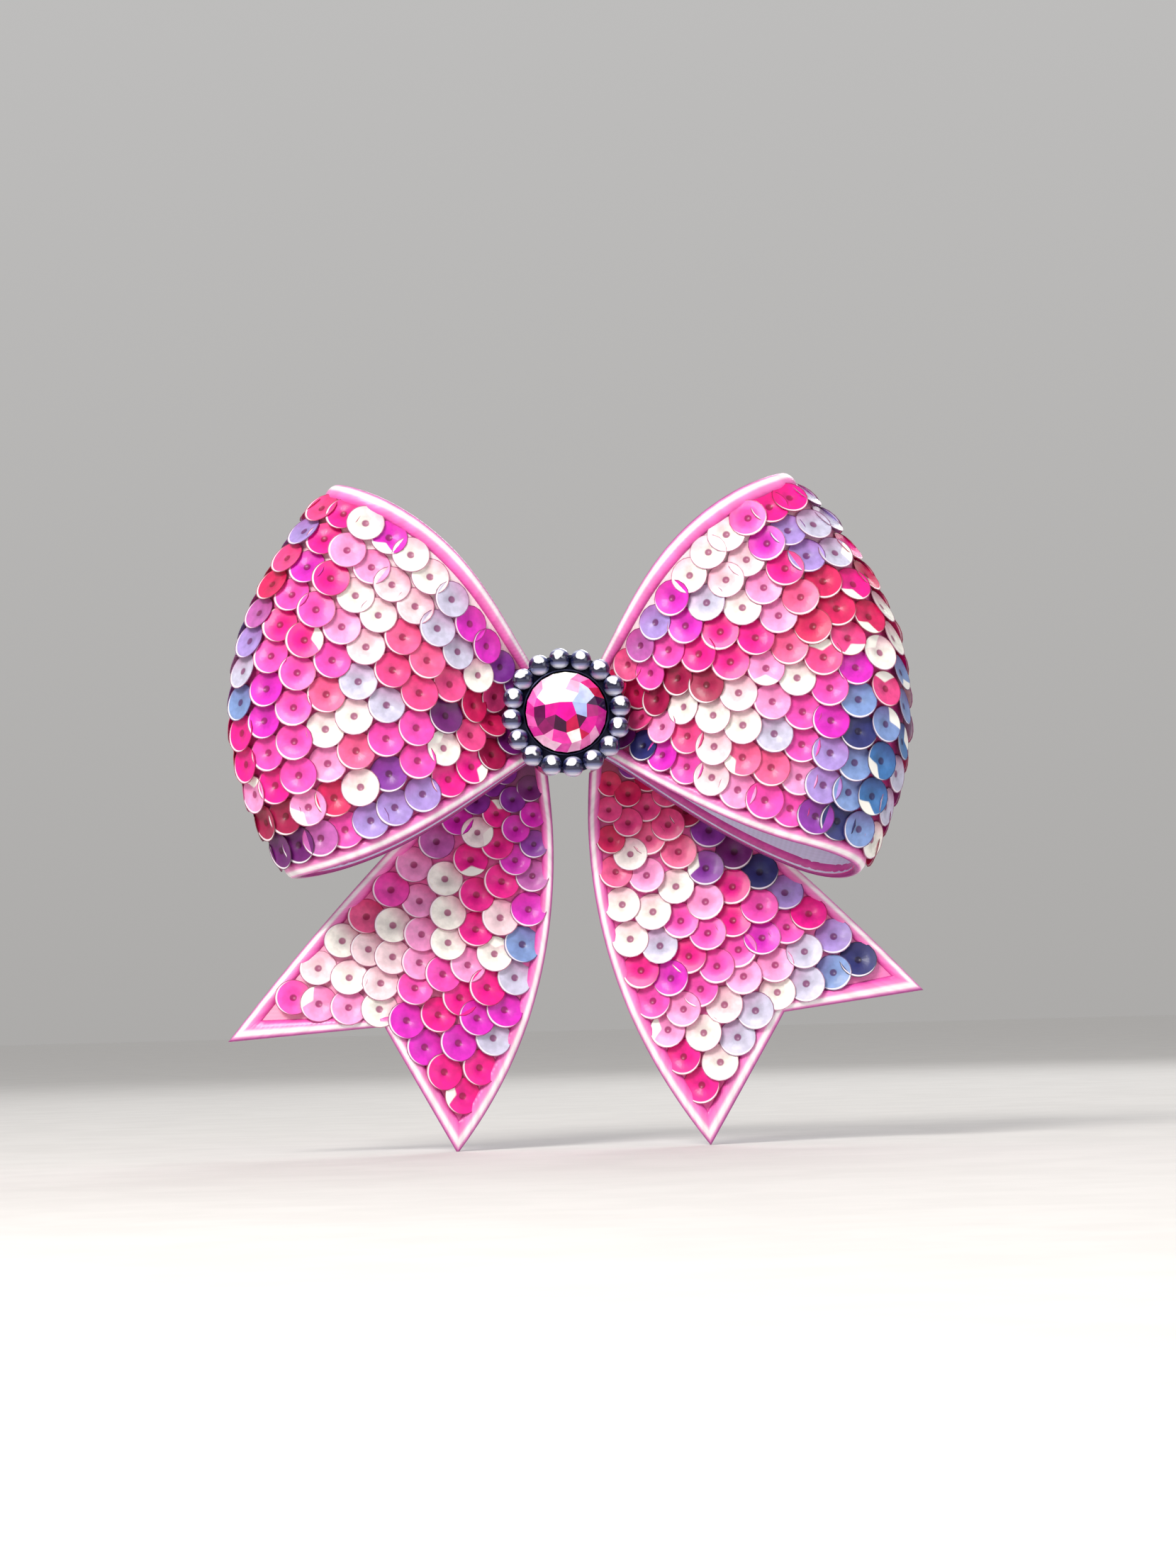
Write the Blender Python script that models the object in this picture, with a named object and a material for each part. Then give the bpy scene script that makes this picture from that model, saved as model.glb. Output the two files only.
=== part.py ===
"""Cheer hair bow: two sequined loops, two sequined tails, a jewelled knot and a sprung hair clip.

The bow stands as it is worn. +X is to the right of someone who faces it, +Z is up, and the jewel
faces -Y. The origin is between the jaws of the closed clip, where the hair is gripped.
Run it with: blender --background --python part.py
"""

import math

import bmesh
import bpy
from mathutils import Matrix, Vector

MM = 0.001
GAP = 0.3 * MM  # left between pieces that touch

# Cloth thicknesses.
RIBBON_THICK = 1.0 * MM
SEQUIN_SHEET_THICK = 1.4 * MM
BINDING_THICK = 1.5 * MM
BINDING_WIDE = 2.7 * MM

# The loops, drawn on the right-hand side of the bow. Each edge runs from the knot to a corner.
SIDES = {"left": -1, "right": 1}
TOP_EDGE = [(0.5, 5.2), (12.0, 6.5), (13.0, 39.0), (47.4, 49.3)]
BOTTOM_EDGE = {
    "left": [(0.5, -5.2), (10.0, -6.5), (30.0, -29.0), (58.2, -32.4)],
    "right": [(0.5, -5.2), (10.0, -6.0), (31.0, -27.5), (60.4, -30.9)],
}
BACK_DROP = {"left": 0.0, "right": 6.0 * MM}  # how far the back half hangs below the front one
FOLD_BULGE = 16.4 * MM  # the fold's reach past a straight line between its two corners
FRONT_RUN = 0.42  # share of the band's length that is the front panel, and the same for the back
FOLD_START = 0.86  # where along the loop's radius the fold starts to turn
NECK_Y, NECK_HALF = -16.6 * MM, 3.6 * MM
BELLY_Y, BELLY_HALF = -23.9 * MM, 11.5 * MM
BELLY_FROM, BELLY_TO = 0.18, 0.72  # shares of the radius over which the loop grows thicker
EDGE_DROP = 0.30  # share of the thickness that the front panel loses at its two edges
CREASE_DEEP, CREASE_WIDE, CREASE_REACH = 6.5 * MM, 0.13, 0.62
BORDER_FROM, SHEET_TO = 2, 22  # stations along the band where the trim starts and the sequins end

# The tails, drawn on the right-hand side too.
TAIL_INNER = {
    "left": [(5.4, -6.5), (-1.5, -57.0), (25.8, -91.4)],
    "right": [(5.4, -6.5), (-0.5, -53.0), (28.5, -91.0)],
}
TAIL_OUTER = {
    "left": [(12.0, -3.0), (36.0, -21.0), (73.2, -66.8)],
    "right": [(12.0, -3.0), (37.0, -20.0), (73.9, -59.7)],
}
TAIL_NOTCH = {"left": (40.4, -64.7), "right": (44.6, -63.7)}
NOTCH_SHARE = 0.45  # where the notch lies across the tail's width
TAIL_STATIONS = [0.0, 0.05, 0.1, 0.15, 0.2, 0.28, 0.36, 0.46, 0.56, 0.67, 0.78, 0.89, 1.0]
TAIL_TRIM_FROM = 1  # the station where a tail comes out of the knot and its trim starts
TAIL_TOP_Y, TAIL_HANG_Y = -9.2 * MM, -6.6 * MM
TAIL_WAVE, TAIL_CROWN = 3.0 * MM, 2.2 * MM
TAIL_SWING_AT = Vector((6.5, -8.7, -6.0)) * MM  # where the right tail bends back, on its top edge

# The knot.
WRAP_HALF_WIDE, WRAP_THICK = 4.5 * MM, 0.8 * MM
WRAP_FRONT, WRAP_BACK, WRAP_TOP, WRAP_BOTTOM = -23.6 * MM, -7.0 * MM, 12.2 * MM, -9.8 * MM
TIE_HALF_WIDE, TIE_THICK = 1.3 * MM, 0.9 * MM
TIE_FRONT, TIE_BACK, TIE_TOP, TIE_BOTTOM = -22.3 * MM, -8.1 * MM, 8.4 * MM, -8.4 * MM

# The jewel, from back to front.
PAD_RADIUS, PAD_BACK, PAD_THICK = 9.5 * MM, -23.9 * MM, 1.3 * MM
PLATE_RADIUS, PLATE_BACK, PLATE_THICK = 12.6 * MM, -25.5 * MM, 1.2 * MM
GEM_RADIUS, GEM_GIRDLE_Y = 8.5 * MM, -30.1 * MM
BEZEL_BACK, BEZEL_WALL, BEZEL_BASE = PLATE_BACK - PLATE_THICK - GAP, 0.3 * MM, 0.7 * MM
BEAD_RADIUS, BEAD_RING, BEADS = 2.25 * MM, 11.5 * MM, 16
BEAD_START = -math.tau / BEADS / 4  # the first bead's angle from straight up, clockwise from the front
BEAD_BORE, WIRE_RADIUS = 0.75 * MM, 0.4 * MM
BEAD_Y = PLATE_BACK - PLATE_THICK - GAP - BEAD_RADIUS

# The clip, which opens towards +Y. Its tip is to the left.
CLIP_TIP_X, CLIP_END_X = -26.0 * MM, 25.0 * MM
CLIP_HALF_WIDE, STEEL = 4.5 * MM, 0.8 * MM
TOP_PLATE_Y = -4.5 * MM
PIVOT = Vector((10.0, -0.8, 0.0)) * MM
PIN_RADIUS, PIN_HOLE = 0.8 * MM, 1.1 * MM
EAR_RADIUS = 2.3 * MM
LOWER_HALF_WIDE, LOWER_PLATE_Y = 3.4 * MM, 1.8 * MM
LEVER_RISE = math.radians(24)
TOOTH_PITCH, TOOTH_DEEP = 2.0 * MM, 0.9 * MM

COLOURS = {
    "satin": ("E85AB0", 0.45, 0.0),
    "sequin_cloth": ("D9418F", 0.5, 0.0),
    "sequins": ("F02A9C", 0.25, 0.2),
    "binding": ("F29AD0", 0.35, 0.0),
    "felt": ("2B2731", 0.95, 0.0),
    "nylon": ("F2F0EC", 0.4, 0.0),
    "plate_metal": ("2A2A36", 0.3, 1.0),
    "bead_glass": ("4A4D60", 0.1, 0.8),
    "gem_glass": ("E0249A", 0.05, 0.1),
    "steel": ("C9CBD0", 0.3, 1.0),
    "rubber": ("26232B", 0.8, 0.0),
}


# ---------------------------------------------------------------- helpers


def clear_scene():
    for leftover in list(bpy.data.objects):
        bpy.data.objects.remove(leftover)


def material(name):
    """The named finish, made once."""
    if name in bpy.data.materials:
        return bpy.data.materials[name]
    hexadecimal, roughness, metallic = COLOURS[name]
    channels = [int(hexadecimal[i : i + 2], 16) / 255 for i in (0, 2, 4)]
    made = bpy.data.materials.new(name)
    made.use_nodes = True
    shader = made.node_tree.nodes["Principled BSDF"]
    shader.inputs["Base Color"].default_value = [c**2.2 for c in channels] + [1.0]
    shader.inputs["Roughness"].default_value = roughness
    shader.inputs["Metallic"].default_value = metallic
    return made


def add_object(name, data, finish):
    made = bpy.data.objects.new(name, data)
    made.data.materials.append(material(finish))
    bpy.context.scene.collection.objects.link(made)
    return made


def mesh_object(name, shape, finish, smooth_below=35):
    """An object from a bmesh, with its faces turned outwards if it is closed."""
    bmesh.ops.remove_doubles(shape, verts=shape.verts, dist=1e-6)
    if all(len(edge.link_faces) == 2 for edge in shape.edges):
        bmesh.ops.recalc_face_normals(shape, faces=shape.faces)
    mesh = bpy.data.meshes.new(name)
    shape.to_mesh(mesh)
    shape.free()
    mesh.shade_smooth()
    mesh.set_sharp_from_angle(angle=math.radians(smooth_below))
    return add_object(name, mesh, finish)


def bezier(points, t):
    """A point on the Bezier curve through these control points, by repeated halving of its polygon."""
    points = [Vector(p) for p in points]
    while len(points) > 1:
        points = [a.lerp(b, t) for a, b in zip(points, points[1:])]
    return points[0]


def set_origin(made, point):
    """Moves an object's origin to this point and leaves its shape where it is."""
    made.data.transform(Matrix.Translation(-point))
    made.location = point


def spread(low, high, count):
    return [low + (high - low) * i / (count - 1) for i in range(count)]


def cloth(name, rows, thick, finish, outwards, around=False):
    """A sheet of cloth through rows of points, thickened outwards from them or inwards."""
    shape = bmesh.new()
    grid = [[shape.verts.new(point) for point in row] for row in rows]
    columns = len(grid[0])
    for upper, lower in zip(grid, grid[1:]):
        for i in range(columns if around else columns - 1):
            j = (i + 1) % columns
            shape.faces.new((upper[i], upper[j], lower[j], lower[i]))
    made = mesh_object(name, shape, finish)
    wall = made.modifiers.new("wall", "SOLIDIFY")
    wall.thickness = thick
    wall.offset = 1.0 if outwards else -1.0
    return made


def turned(name, profile, finish, steps):
    """A round piece on the Y axis. The profile is a closed outline of (radius, y) points."""
    shape = bmesh.new()
    corners = [shape.verts.new((radius, y, 0.0)) for radius, y in profile]
    edges = [shape.edges.new((a, b)) for a, b in zip(corners, corners[1:] + corners[:1])]
    bmesh.ops.spin(
        shape,
        geom=corners + edges,
        cent=(0, 0, 0),
        axis=(0, 1, 0),
        angle=math.tau,
        steps=steps,
        use_merge=True,
    )
    bmesh.ops.dissolve_degenerate(shape, edges=shape.edges, dist=1e-7)
    return mesh_object(name, shape, finish)


def turned_solid(name, profile, finish, steps):
    """A round piece on the Y axis whose profile starts and ends on that axis."""
    shape = bmesh.new()
    corners = [shape.verts.new((radius, y, 0.0)) for radius, y in profile]
    edges = [shape.edges.new((a, b)) for a, b in zip(corners, corners[1:])]
    bmesh.ops.spin(
        shape,
        geom=corners + edges,
        cent=(0, 0, 0),
        axis=(0, 1, 0),
        angle=math.tau,
        steps=steps,
        use_merge=False,
    )
    return mesh_object(name, shape, finish)


def extruded(name, outline, low_z, high_z, finish):
    """A flat outline of (x, y) points, raised from low_z to high_z."""
    shape = bmesh.new()
    floor = shape.faces.new([shape.verts.new((x, y, low_z)) for x, y in outline])
    risen = bmesh.ops.extrude_face_region(shape, geom=[floor])["geom"]
    walls = [part for part in risen if isinstance(part, bmesh.types.BMVert)]
    bmesh.ops.translate(shape, verts=walls, vec=(0, 0, high_z - low_z))
    return mesh_object(name, shape, finish)


def block(name, low, high, finish, rounding=0.0, segments=2):
    """A box between two corners, its edges rounded by a Bevel."""
    low, high = Vector(low), Vector(high)
    shape = bmesh.new()
    bmesh.ops.create_cube(shape, size=1.0)
    bmesh.ops.scale(shape, verts=shape.verts, vec=high - low)
    bmesh.ops.translate(shape, verts=shape.verts, vec=(low + high) / 2)
    made = mesh_object(name, shape, finish)
    if rounding:
        bevel = made.modifiers.new("rounding", "BEVEL")
        bevel.width = rounding
        bevel.segments = segments
    return made


def boolean(target, tool, operation):
    """Joins the tool to the target, or cuts it out. The tool stays as a hidden helper."""
    change = target.modifiers.new(operation.lower(), "BOOLEAN")
    change.operation = operation
    change.object = tool
    tool.hide_render = True
    tool.display_type = "WIRE"


def cylinder_along_z(name, centre, radius, low_z, high_z, finish, steps=16):
    ring = []
    for i in range(steps):
        angle = math.tau * i / steps
        ring.append((centre.x + radius * math.cos(angle), centre.y + radius * math.sin(angle)))
    return extruded(name, ring, low_z, high_z, finish)


def wire(name, points, radius, finish, sides_level=1, closed=False):
    """A round wire through these points."""
    curve = bpy.data.curves.new(name, "CURVE")
    curve.dimensions = "3D"
    curve.bevel_depth = radius
    curve.bevel_resolution = sides_level
    curve.use_fill_caps = not closed
    spline = curve.splines.new("POLY")
    spline.points.add(len(points) - 1)
    for place, point in zip(spline.points, points):
        place.co = (*point, 1.0)
    spline.use_cyclic_u = closed
    return add_object(name, curve, finish)


def rounded_ring(front, back, bottom, top, steps):
    """Points (y, z) round a box with rounded corners, as a superellipse."""
    power = 2 / 3.2
    points = []
    for i in range(steps):
        angle = math.tau * (i + 0.5) / steps
        c, s = math.cos(angle), math.sin(angle)
        y = (front + back) / 2 + (back - front) / 2 * math.copysign(abs(c) ** power, c)
        z = (bottom + top) / 2 + (top - bottom) / 2 * math.copysign(abs(s) ** power, s)
        points.append((y, z))
    return points


# ---------------------------------------------------------------- loops


def smooth_rise(x):
    """0 to 1 with level ends."""
    x = min(max(x, 0.0), 1.0)
    return x * x * (3 - 2 * x)


def loop_profile(t):
    """How far out along the radius the band is, from 0 at the knot to 1 at the fold, and how far it is
    to the front (1) or the back (-1). It runs from the knot's front (t 0) round the fold to its back."""
    if t < FRONT_RUN:
        return FOLD_START * t / FRONT_RUN, 1.0
    if t > 1 - FRONT_RUN:
        return FOLD_START * (1 - t) / FRONT_RUN, -1.0
    turn = math.pi * (t - FRONT_RUN) / (1 - 2 * FRONT_RUN)
    return FOLD_START + (1 - FOLD_START) * math.sin(turn), math.cos(turn)


def loop_point(side, t, s):
    """A point on the outside of a loop's band. s runs across it, from the bottom edge to the top."""
    reach, swing = loop_profile(t)
    bottom = bezier(BOTTOM_EDGE[side], reach) * MM
    top = bezier(TOP_EDGE, reach) * MM
    x, z = bottom.lerp(top, s)
    crown = 4 * s * (1 - s)
    x += FOLD_BULGE * reach**2 * crown
    at_back = (1 - swing) / 2
    z -= BACK_DROP[side] * at_back * reach**2 * (1 - s) ** 2
    belly = smooth_rise((reach - BELLY_FROM) / (BELLY_TO - BELLY_FROM))
    half = NECK_HALF + (BELLY_HALF - NECK_HALF) * belly
    front_share = max(swing, 0.0)
    y = NECK_Y + (BELLY_Y - NECK_Y) * belly - half * swing
    y += half * EDGE_DROP * (1 - crown) * front_share * belly
    crease = math.exp(-(((s - 0.5) / CREASE_WIDE) ** 2)) * smooth_rise(reach * 4)
    y += CREASE_DEEP * crease * (1 - smooth_rise(reach / CREASE_REACH)) * front_share
    return Vector((SIDES[side] * x, y, z))


def lifted(surface, side, a, b, height):
    """The surface's point at (a, b), moved outwards from it by height."""
    step = 1e-3
    along = surface(side, a + step, b) - surface(side, a - step, b)
    across = surface(side, a, b + step) - surface(side, a, b - step)
    return surface(side, a, b) + along.cross(across).normalized() * height * SIDES[side]


def loop_inset(side, t, width):
    """The share of the band's width, at t, that a border this wide takes."""
    wide = (loop_point(side, t, 1.0) - loop_point(side, t, 0.0)).length
    return min(width / wide, 0.3)


def facing_out(side, rows):
    """Rows in the order that turns their faces outwards, on either side of the bow."""
    return rows[::-1] if side == "right" else rows


def loop_stations():
    """Places along the band, which the ribbon shares with all that is sewn on it."""
    front, back = spread(0, FRONT_RUN, 11), spread(1 - FRONT_RUN, 1, 9)
    return front[:-1] + spread(FRONT_RUN, 1 - FRONT_RUN, 9) + back[1:]


def build_loop(side):
    stations = loop_stations()
    band = []
    for t in stations:
        inset = loop_inset(side, t, BINDING_WIDE + GAP)
        across = [0.0] + spread(inset, 1 - inset, 9) + [1.0]
        band.append([loop_point(side, t, s) for s in across])
    cloth(f"{side}_loop_ribbon", facing_out(side, band), RIBBON_THICK, "satin", outwards=False)

    sheet = []
    for t in stations[BORDER_FROM : SHEET_TO + 1]:
        inset = loop_inset(side, t, BINDING_WIDE + GAP)
        sheet.append([lifted(loop_point, side, t, s, GAP) for s in spread(inset, 1 - inset, 9)])
    name = f"{side}_loop_sequin_sheet"
    cloth(name, facing_out(side, sheet), SEQUIN_SHEET_THICK, "sequins", outwards=True)

    for place in ("bottom", "top"):
        border = []
        for t in stations[BORDER_FROM:-BORDER_FROM]:
            inset = loop_inset(side, t, BINDING_WIDE)
            pair = (0.0, inset) if place == "bottom" else (1.0 - inset, 1.0)
            border.append([lifted(loop_point, side, t, s, GAP) for s in pair])
        name = f"{side}_loop_{place}_binding"
        cloth(name, facing_out(side, border), BINDING_THICK, "binding", outwards=True)


# ---------------------------------------------------------------- tails


def tail_point(side, l, w):
    """A point on the front of a tail. l runs down it from the knot, and w across it from its inner edge."""
    inner, outer = bezier(TAIL_INNER[side], l), bezier(TAIL_OUTER[side], l)
    tips = Vector(TAIL_INNER[side][-1]), Vector(TAIL_OUTER[side][-1])
    notch = Vector(TAIL_NOTCH[side])
    if w < NOTCH_SHARE:
        end = tips[0].lerp(notch, w / NOTCH_SHARE)
    else:
        end = notch.lerp(tips[1], (w - NOTCH_SHARE) / (1 - NOTCH_SHARE))
    x, z = (inner.lerp(outer, w) + (end - tips[0].lerp(tips[1], w)) * l**2) * MM
    hang = smooth_rise(l / 0.15)
    y = TAIL_TOP_Y + (TAIL_HANG_Y - TAIL_TOP_Y) * hang
    y -= TAIL_WAVE * smooth_rise((l - 0.55) / 0.45)
    y -= TAIL_CROWN * 4 * w * (1 - w) * smooth_rise((l - 0.3) / 0.4)
    return Vector((SIDES[side] * x, y, z))


def across_tail(inset_inner, inset_outer, each_half):
    """Places across a tail, with one of them on the notch's line."""
    inner = spread(inset_inner, NOTCH_SHARE, each_half)
    return inner[:-1] + spread(NOTCH_SHARE, 1 - inset_outer, each_half)


def tail_border(side, border):
    """Pairs of (l, w), on a tail's outline and a border's width inside it. They run down the inner edge,
    along both sides of the notch and up the outer edge."""
    length = (tail_point(side, 1, 0) - tail_point(side, 0, 0)).length
    last = 1 - 1.35 * border / length
    inner_edge = []
    for l in TAIL_STATIONS[TAIL_TRIM_FROM:]:
        wide = (tail_point(side, l, 1) - tail_point(side, l, 0)).length
        share = min(1.1 * border / wide, 0.3)
        inner_edge.append(((l, 0.0), (l * last, share)))
    notch = []
    for w in across_tail(0, 0, 4)[1:-1]:
        notch.append(((1.0, w), (last, share + (1 - 2 * share) * w)))
    outer_edge = [((l, 1.0), (near_l, 1 - share)) for (l, _), (near_l, share) in reversed(inner_edge)]
    return inner_edge, notch, outer_edge


def build_tail(side):
    """Three pieces that swing together about the line of the tail's top edge."""
    swing_at = Vector((SIDES[side] * TAIL_SWING_AT.x, TAIL_SWING_AT.y, TAIL_SWING_AT.z))
    front = [[tail_point(side, l, w) for w in across_tail(0, 0, 5)] for l in TAIL_STATIONS]
    name = f"{side}_tail_ribbon"
    ribbon = cloth(name, facing_out(side, front), RIBBON_THICK, "satin", outwards=False)

    sheet = []
    for _, (l, share) in tail_border(side, BINDING_WIDE + GAP)[0]:
        sheet.append([lifted(tail_point, side, l, w, GAP) for w in across_tail(share, share, 5)])
    name = f"{side}_tail_sequin_sheet"
    sequins = cloth(name, facing_out(side, sheet), SEQUIN_SHEET_THICK, "sequins", outwards=True)

    inner_edge, notch, outer_edge = tail_border(side, BINDING_WIDE)
    border = []
    for pair in inner_edge + notch + outer_edge:
        border.append([lifted(tail_point, side, l, w, GAP) for l, w in pair])
    name = f"{side}_tail_binding"
    binding = cloth(name, facing_out(side, border), BINDING_THICK, "binding", outwards=True)
    for piece in (ribbon, sequins, binding):
        set_origin(piece, swing_at)


# ---------------------------------------------------------------- knot


def band_rows(front, back, bottom, top, half_wide, steps):
    ring = rounded_ring(front, back, bottom, top, steps)
    return [[Vector((x, y, z)) for y, z in ring] for x in (-half_wide, half_wide)]


def build_knot():
    cloth(
        "knot_wrap",
        band_rows(WRAP_FRONT, WRAP_BACK, WRAP_BOTTOM, WRAP_TOP, WRAP_HALF_WIDE, 28),
        WRAP_THICK,
        "satin",
        outwards=False,
        around=True,
    )
    tie = cloth(
        "cinch_tie",
        band_rows(TIE_FRONT, TIE_BACK, TIE_BOTTOM, TIE_TOP, TIE_HALF_WIDE, 24),
        TIE_THICK,
        "nylon",
        outwards=False,
        around=True,
    )
    head_low = (-2.0 * MM, -17.6 * MM, TIE_TOP - TIE_THICK / 2)
    head_high = (2.0 * MM, -13.2 * MM, TIE_TOP + 2.4 * MM)
    boolean(tie, block("tie_head_tool", head_low, head_high, "nylon"), "UNION")
    block(
        "tail_gather",
        (-4.9 * MM, -12.4 * MM, -5.0 * MM),
        (4.9 * MM, -9.8 * MM, 4.0 * MM),
        "satin",
        rounding=1.0 * MM,
    )


def build_jewel():
    turned_solid(
        "jewel_felt_pad",
        [
            (0.0, PAD_BACK),
            (PAD_RADIUS, PAD_BACK),
            (PAD_RADIUS, PAD_BACK - PAD_THICK),
            (0.0, PAD_BACK - PAD_THICK),
        ],
        "felt",
        28,
    )
    face = PLATE_BACK - PLATE_THICK
    turned_solid(
        "jewel_back_plate",
        [
            (0.0, PLATE_BACK),
            (PLATE_RADIUS - 0.5 * MM, PLATE_BACK),
            (PLATE_RADIUS, PLATE_BACK - 0.4 * MM),
            (PLATE_RADIUS, face + 0.3 * MM),
            (PLATE_RADIUS - 0.4 * MM, face),
            (0.0, face),
        ],
        "plate_metal",
        32,
    )
    seat = GEM_RADIUS + GAP
    outer = seat + BEZEL_WALL
    turned_solid(
        "gem_bezel",
        [
            (0.0, BEZEL_BACK),
            (outer - 1.2 * MM, BEZEL_BACK),
            (outer, BEZEL_BACK - 1.0 * MM),
            (outer, GEM_GIRDLE_Y),
            (seat, GEM_GIRDLE_Y),
            (seat, BEZEL_BACK - 1.2 * MM),
            (seat - 1.0 * MM, BEZEL_BACK - BEZEL_BASE),
            (0.0, BEZEL_BACK - BEZEL_BASE),
        ],
        "plate_metal",
        32,
    )
    build_gem()
    build_beads()


def build_gem():
    """A faceted round stone: the hull of rings of corners, from the small table down to the culet."""
    rings = [
        (0.25, -3.9 * MM, 5, 0.5),
        (0.64, -2.9 * MM, 5, 0.0),
        (0.90, -1.3 * MM, 10, 0.5),
        (1.0, -0.25 * MM, 20, 0.0),
        (1.0, 0.25 * MM, 20, 0.0),
        (0.6, 1.4 * MM, 10, 0.0),
        (0.12, 2.0 * MM, 5, 0.0),
    ]
    shape = bmesh.new()
    for share, lift, corners, phase in rings:
        for i in range(corners):
            angle = math.tau * (i + phase) / corners
            x, z = math.sin(angle), math.cos(angle)
            radius = GEM_RADIUS * share
            shape.verts.new((radius * x, GEM_GIRDLE_Y + lift, radius * z))
    bmesh.ops.convex_hull(shape, input=shape.verts)
    mesh_object("gem", shape, "gem_glass", smooth_below=1)


def build_beads():
    bore_half = math.sqrt(BEAD_RADIUS**2 - BEAD_BORE**2)
    edge = math.asin(BEAD_BORE / BEAD_RADIUS)
    profile = [
        (BEAD_RADIUS * math.sin(angle), BEAD_RADIUS * math.cos(angle))
        for angle in spread(edge, math.pi - edge, 7)
    ]
    profile[0], profile[-1] = (BEAD_BORE, bore_half), (BEAD_BORE, -bore_half)
    first = turned("halo_bead_01", profile, "bead_glass", 10)
    for number in range(BEADS):
        bead = first
        if number:
            bead = bpy.data.objects.new(f"halo_bead_{number + 1:02d}", first.data)
            bpy.context.scene.collection.objects.link(bead)
        angle = BEAD_START + math.tau * number / BEADS
        place = Vector((math.sin(angle), 0, math.cos(angle))) * BEAD_RING
        along_ring = Vector((math.cos(angle), 0, -math.sin(angle)))
        turn = along_ring.to_track_quat("Y", "Z").to_matrix().to_4x4()
        bead.matrix_world = Matrix.Translation(place + Vector((0, BEAD_Y, 0))) @ turn
    ring = [
        Vector((math.sin(a), 0, math.cos(a))) * BEAD_RING + Vector((0, BEAD_Y, 0))
        for a in spread(BEAD_START, BEAD_START + math.tau, 2 * BEADS + 1)[:-1]
    ]
    wire("halo_wire", ring, WIRE_RADIUS, "steel", sides_level=0, closed=True)


# ---------------------------------------------------------------- clip


def toothed_wall(low_x, high_x, root_y, tip_y, ear_from, ear_to):
    """The side view of a jaw's wall: a straight root, saw teeth towards tip_y and a round ear."""
    outline = [(low_x, root_y)]
    direction = 1 if tip_y > root_y else -1
    teeth = int((high_x - low_x) / TOOTH_PITCH)
    for i in range(teeth):
        x = low_x + i * TOOTH_PITCH
        outline.append((x + 0.2 * TOOTH_PITCH, tip_y - direction * TOOTH_DEEP))
        outline.append((x + 0.7 * TOOTH_PITCH, tip_y))
    outline.append((high_x, tip_y - direction * TOOTH_DEEP))
    for angle in spread(ear_from, ear_to, 8):
        turn = math.radians(angle)
        outline.append((PIVOT.x + EAR_RADIUS * math.cos(turn), PIVOT.y + EAR_RADIUS * math.sin(turn)))
    outline.append((PIVOT.x + EAR_RADIUS, root_y))
    return outline


def add_walls(jaw, outline, outer_half, name):
    """Joins the two side walls to a jaw's plate, and drills the pin's hole through both."""
    for label, low in (("near", -outer_half), ("far", outer_half - STEEL)):
        tool = extruded(f"{name}_{label}_wall_tool", outline, low, low + STEEL, "steel")
        boolean(jaw, tool, "UNION")
    drill = cylinder_along_z(f"{name}_drill", PIVOT, PIN_HOLE, -6 * MM, 6 * MM, "steel")
    boolean(jaw, drill, "DIFFERENCE")


def rounded_strip(low_x, high_x, half_wide, corner):
    """The outline, as (x, z), of a strip whose two ends are rounded."""
    outline = []
    for centre_x, start in ((high_x - corner, -90), (low_x + corner, 90)):
        for z, turn in ((-1, 0), (1, 90)) if start < 0 else ((1, 0), (-1, 90)):
            for angle in spread(start + turn, start + turn + 90, 4):
                radians = math.radians(angle)
                outline.append(
                    (
                        centre_x + corner * math.cos(radians),
                        z * (half_wide - corner) + corner * math.sin(radians),
                    )
                )
    return outline


def flat_strip(name, low_x, high_x, half_wide, low_y, high_y, corner, finish):
    """A strip that lies in the XZ plane, from low_y to high_y."""
    strip = extruded(name, rounded_strip(low_x, high_x, half_wide, corner), -high_y, -low_y, finish)
    strip.data.transform(Matrix.Rotation(math.radians(90), 4, "X"))
    return strip


def build_top_jaw():
    jaw = flat_strip(
        "clip_top_jaw",
        CLIP_TIP_X,
        CLIP_END_X,
        CLIP_HALF_WIDE,
        TOP_PLATE_Y,
        TOP_PLATE_Y + STEEL,
        2.5 * MM,
        "steel",
    )
    wall = toothed_wall(
        CLIP_TIP_X + 3 * MM, 6 * MM, TOP_PLATE_Y + 0.4 * MM, -1.7 * MM, 150, 0
    )
    add_walls(jaw, wall, CLIP_HALF_WIDE, "top")


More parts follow.
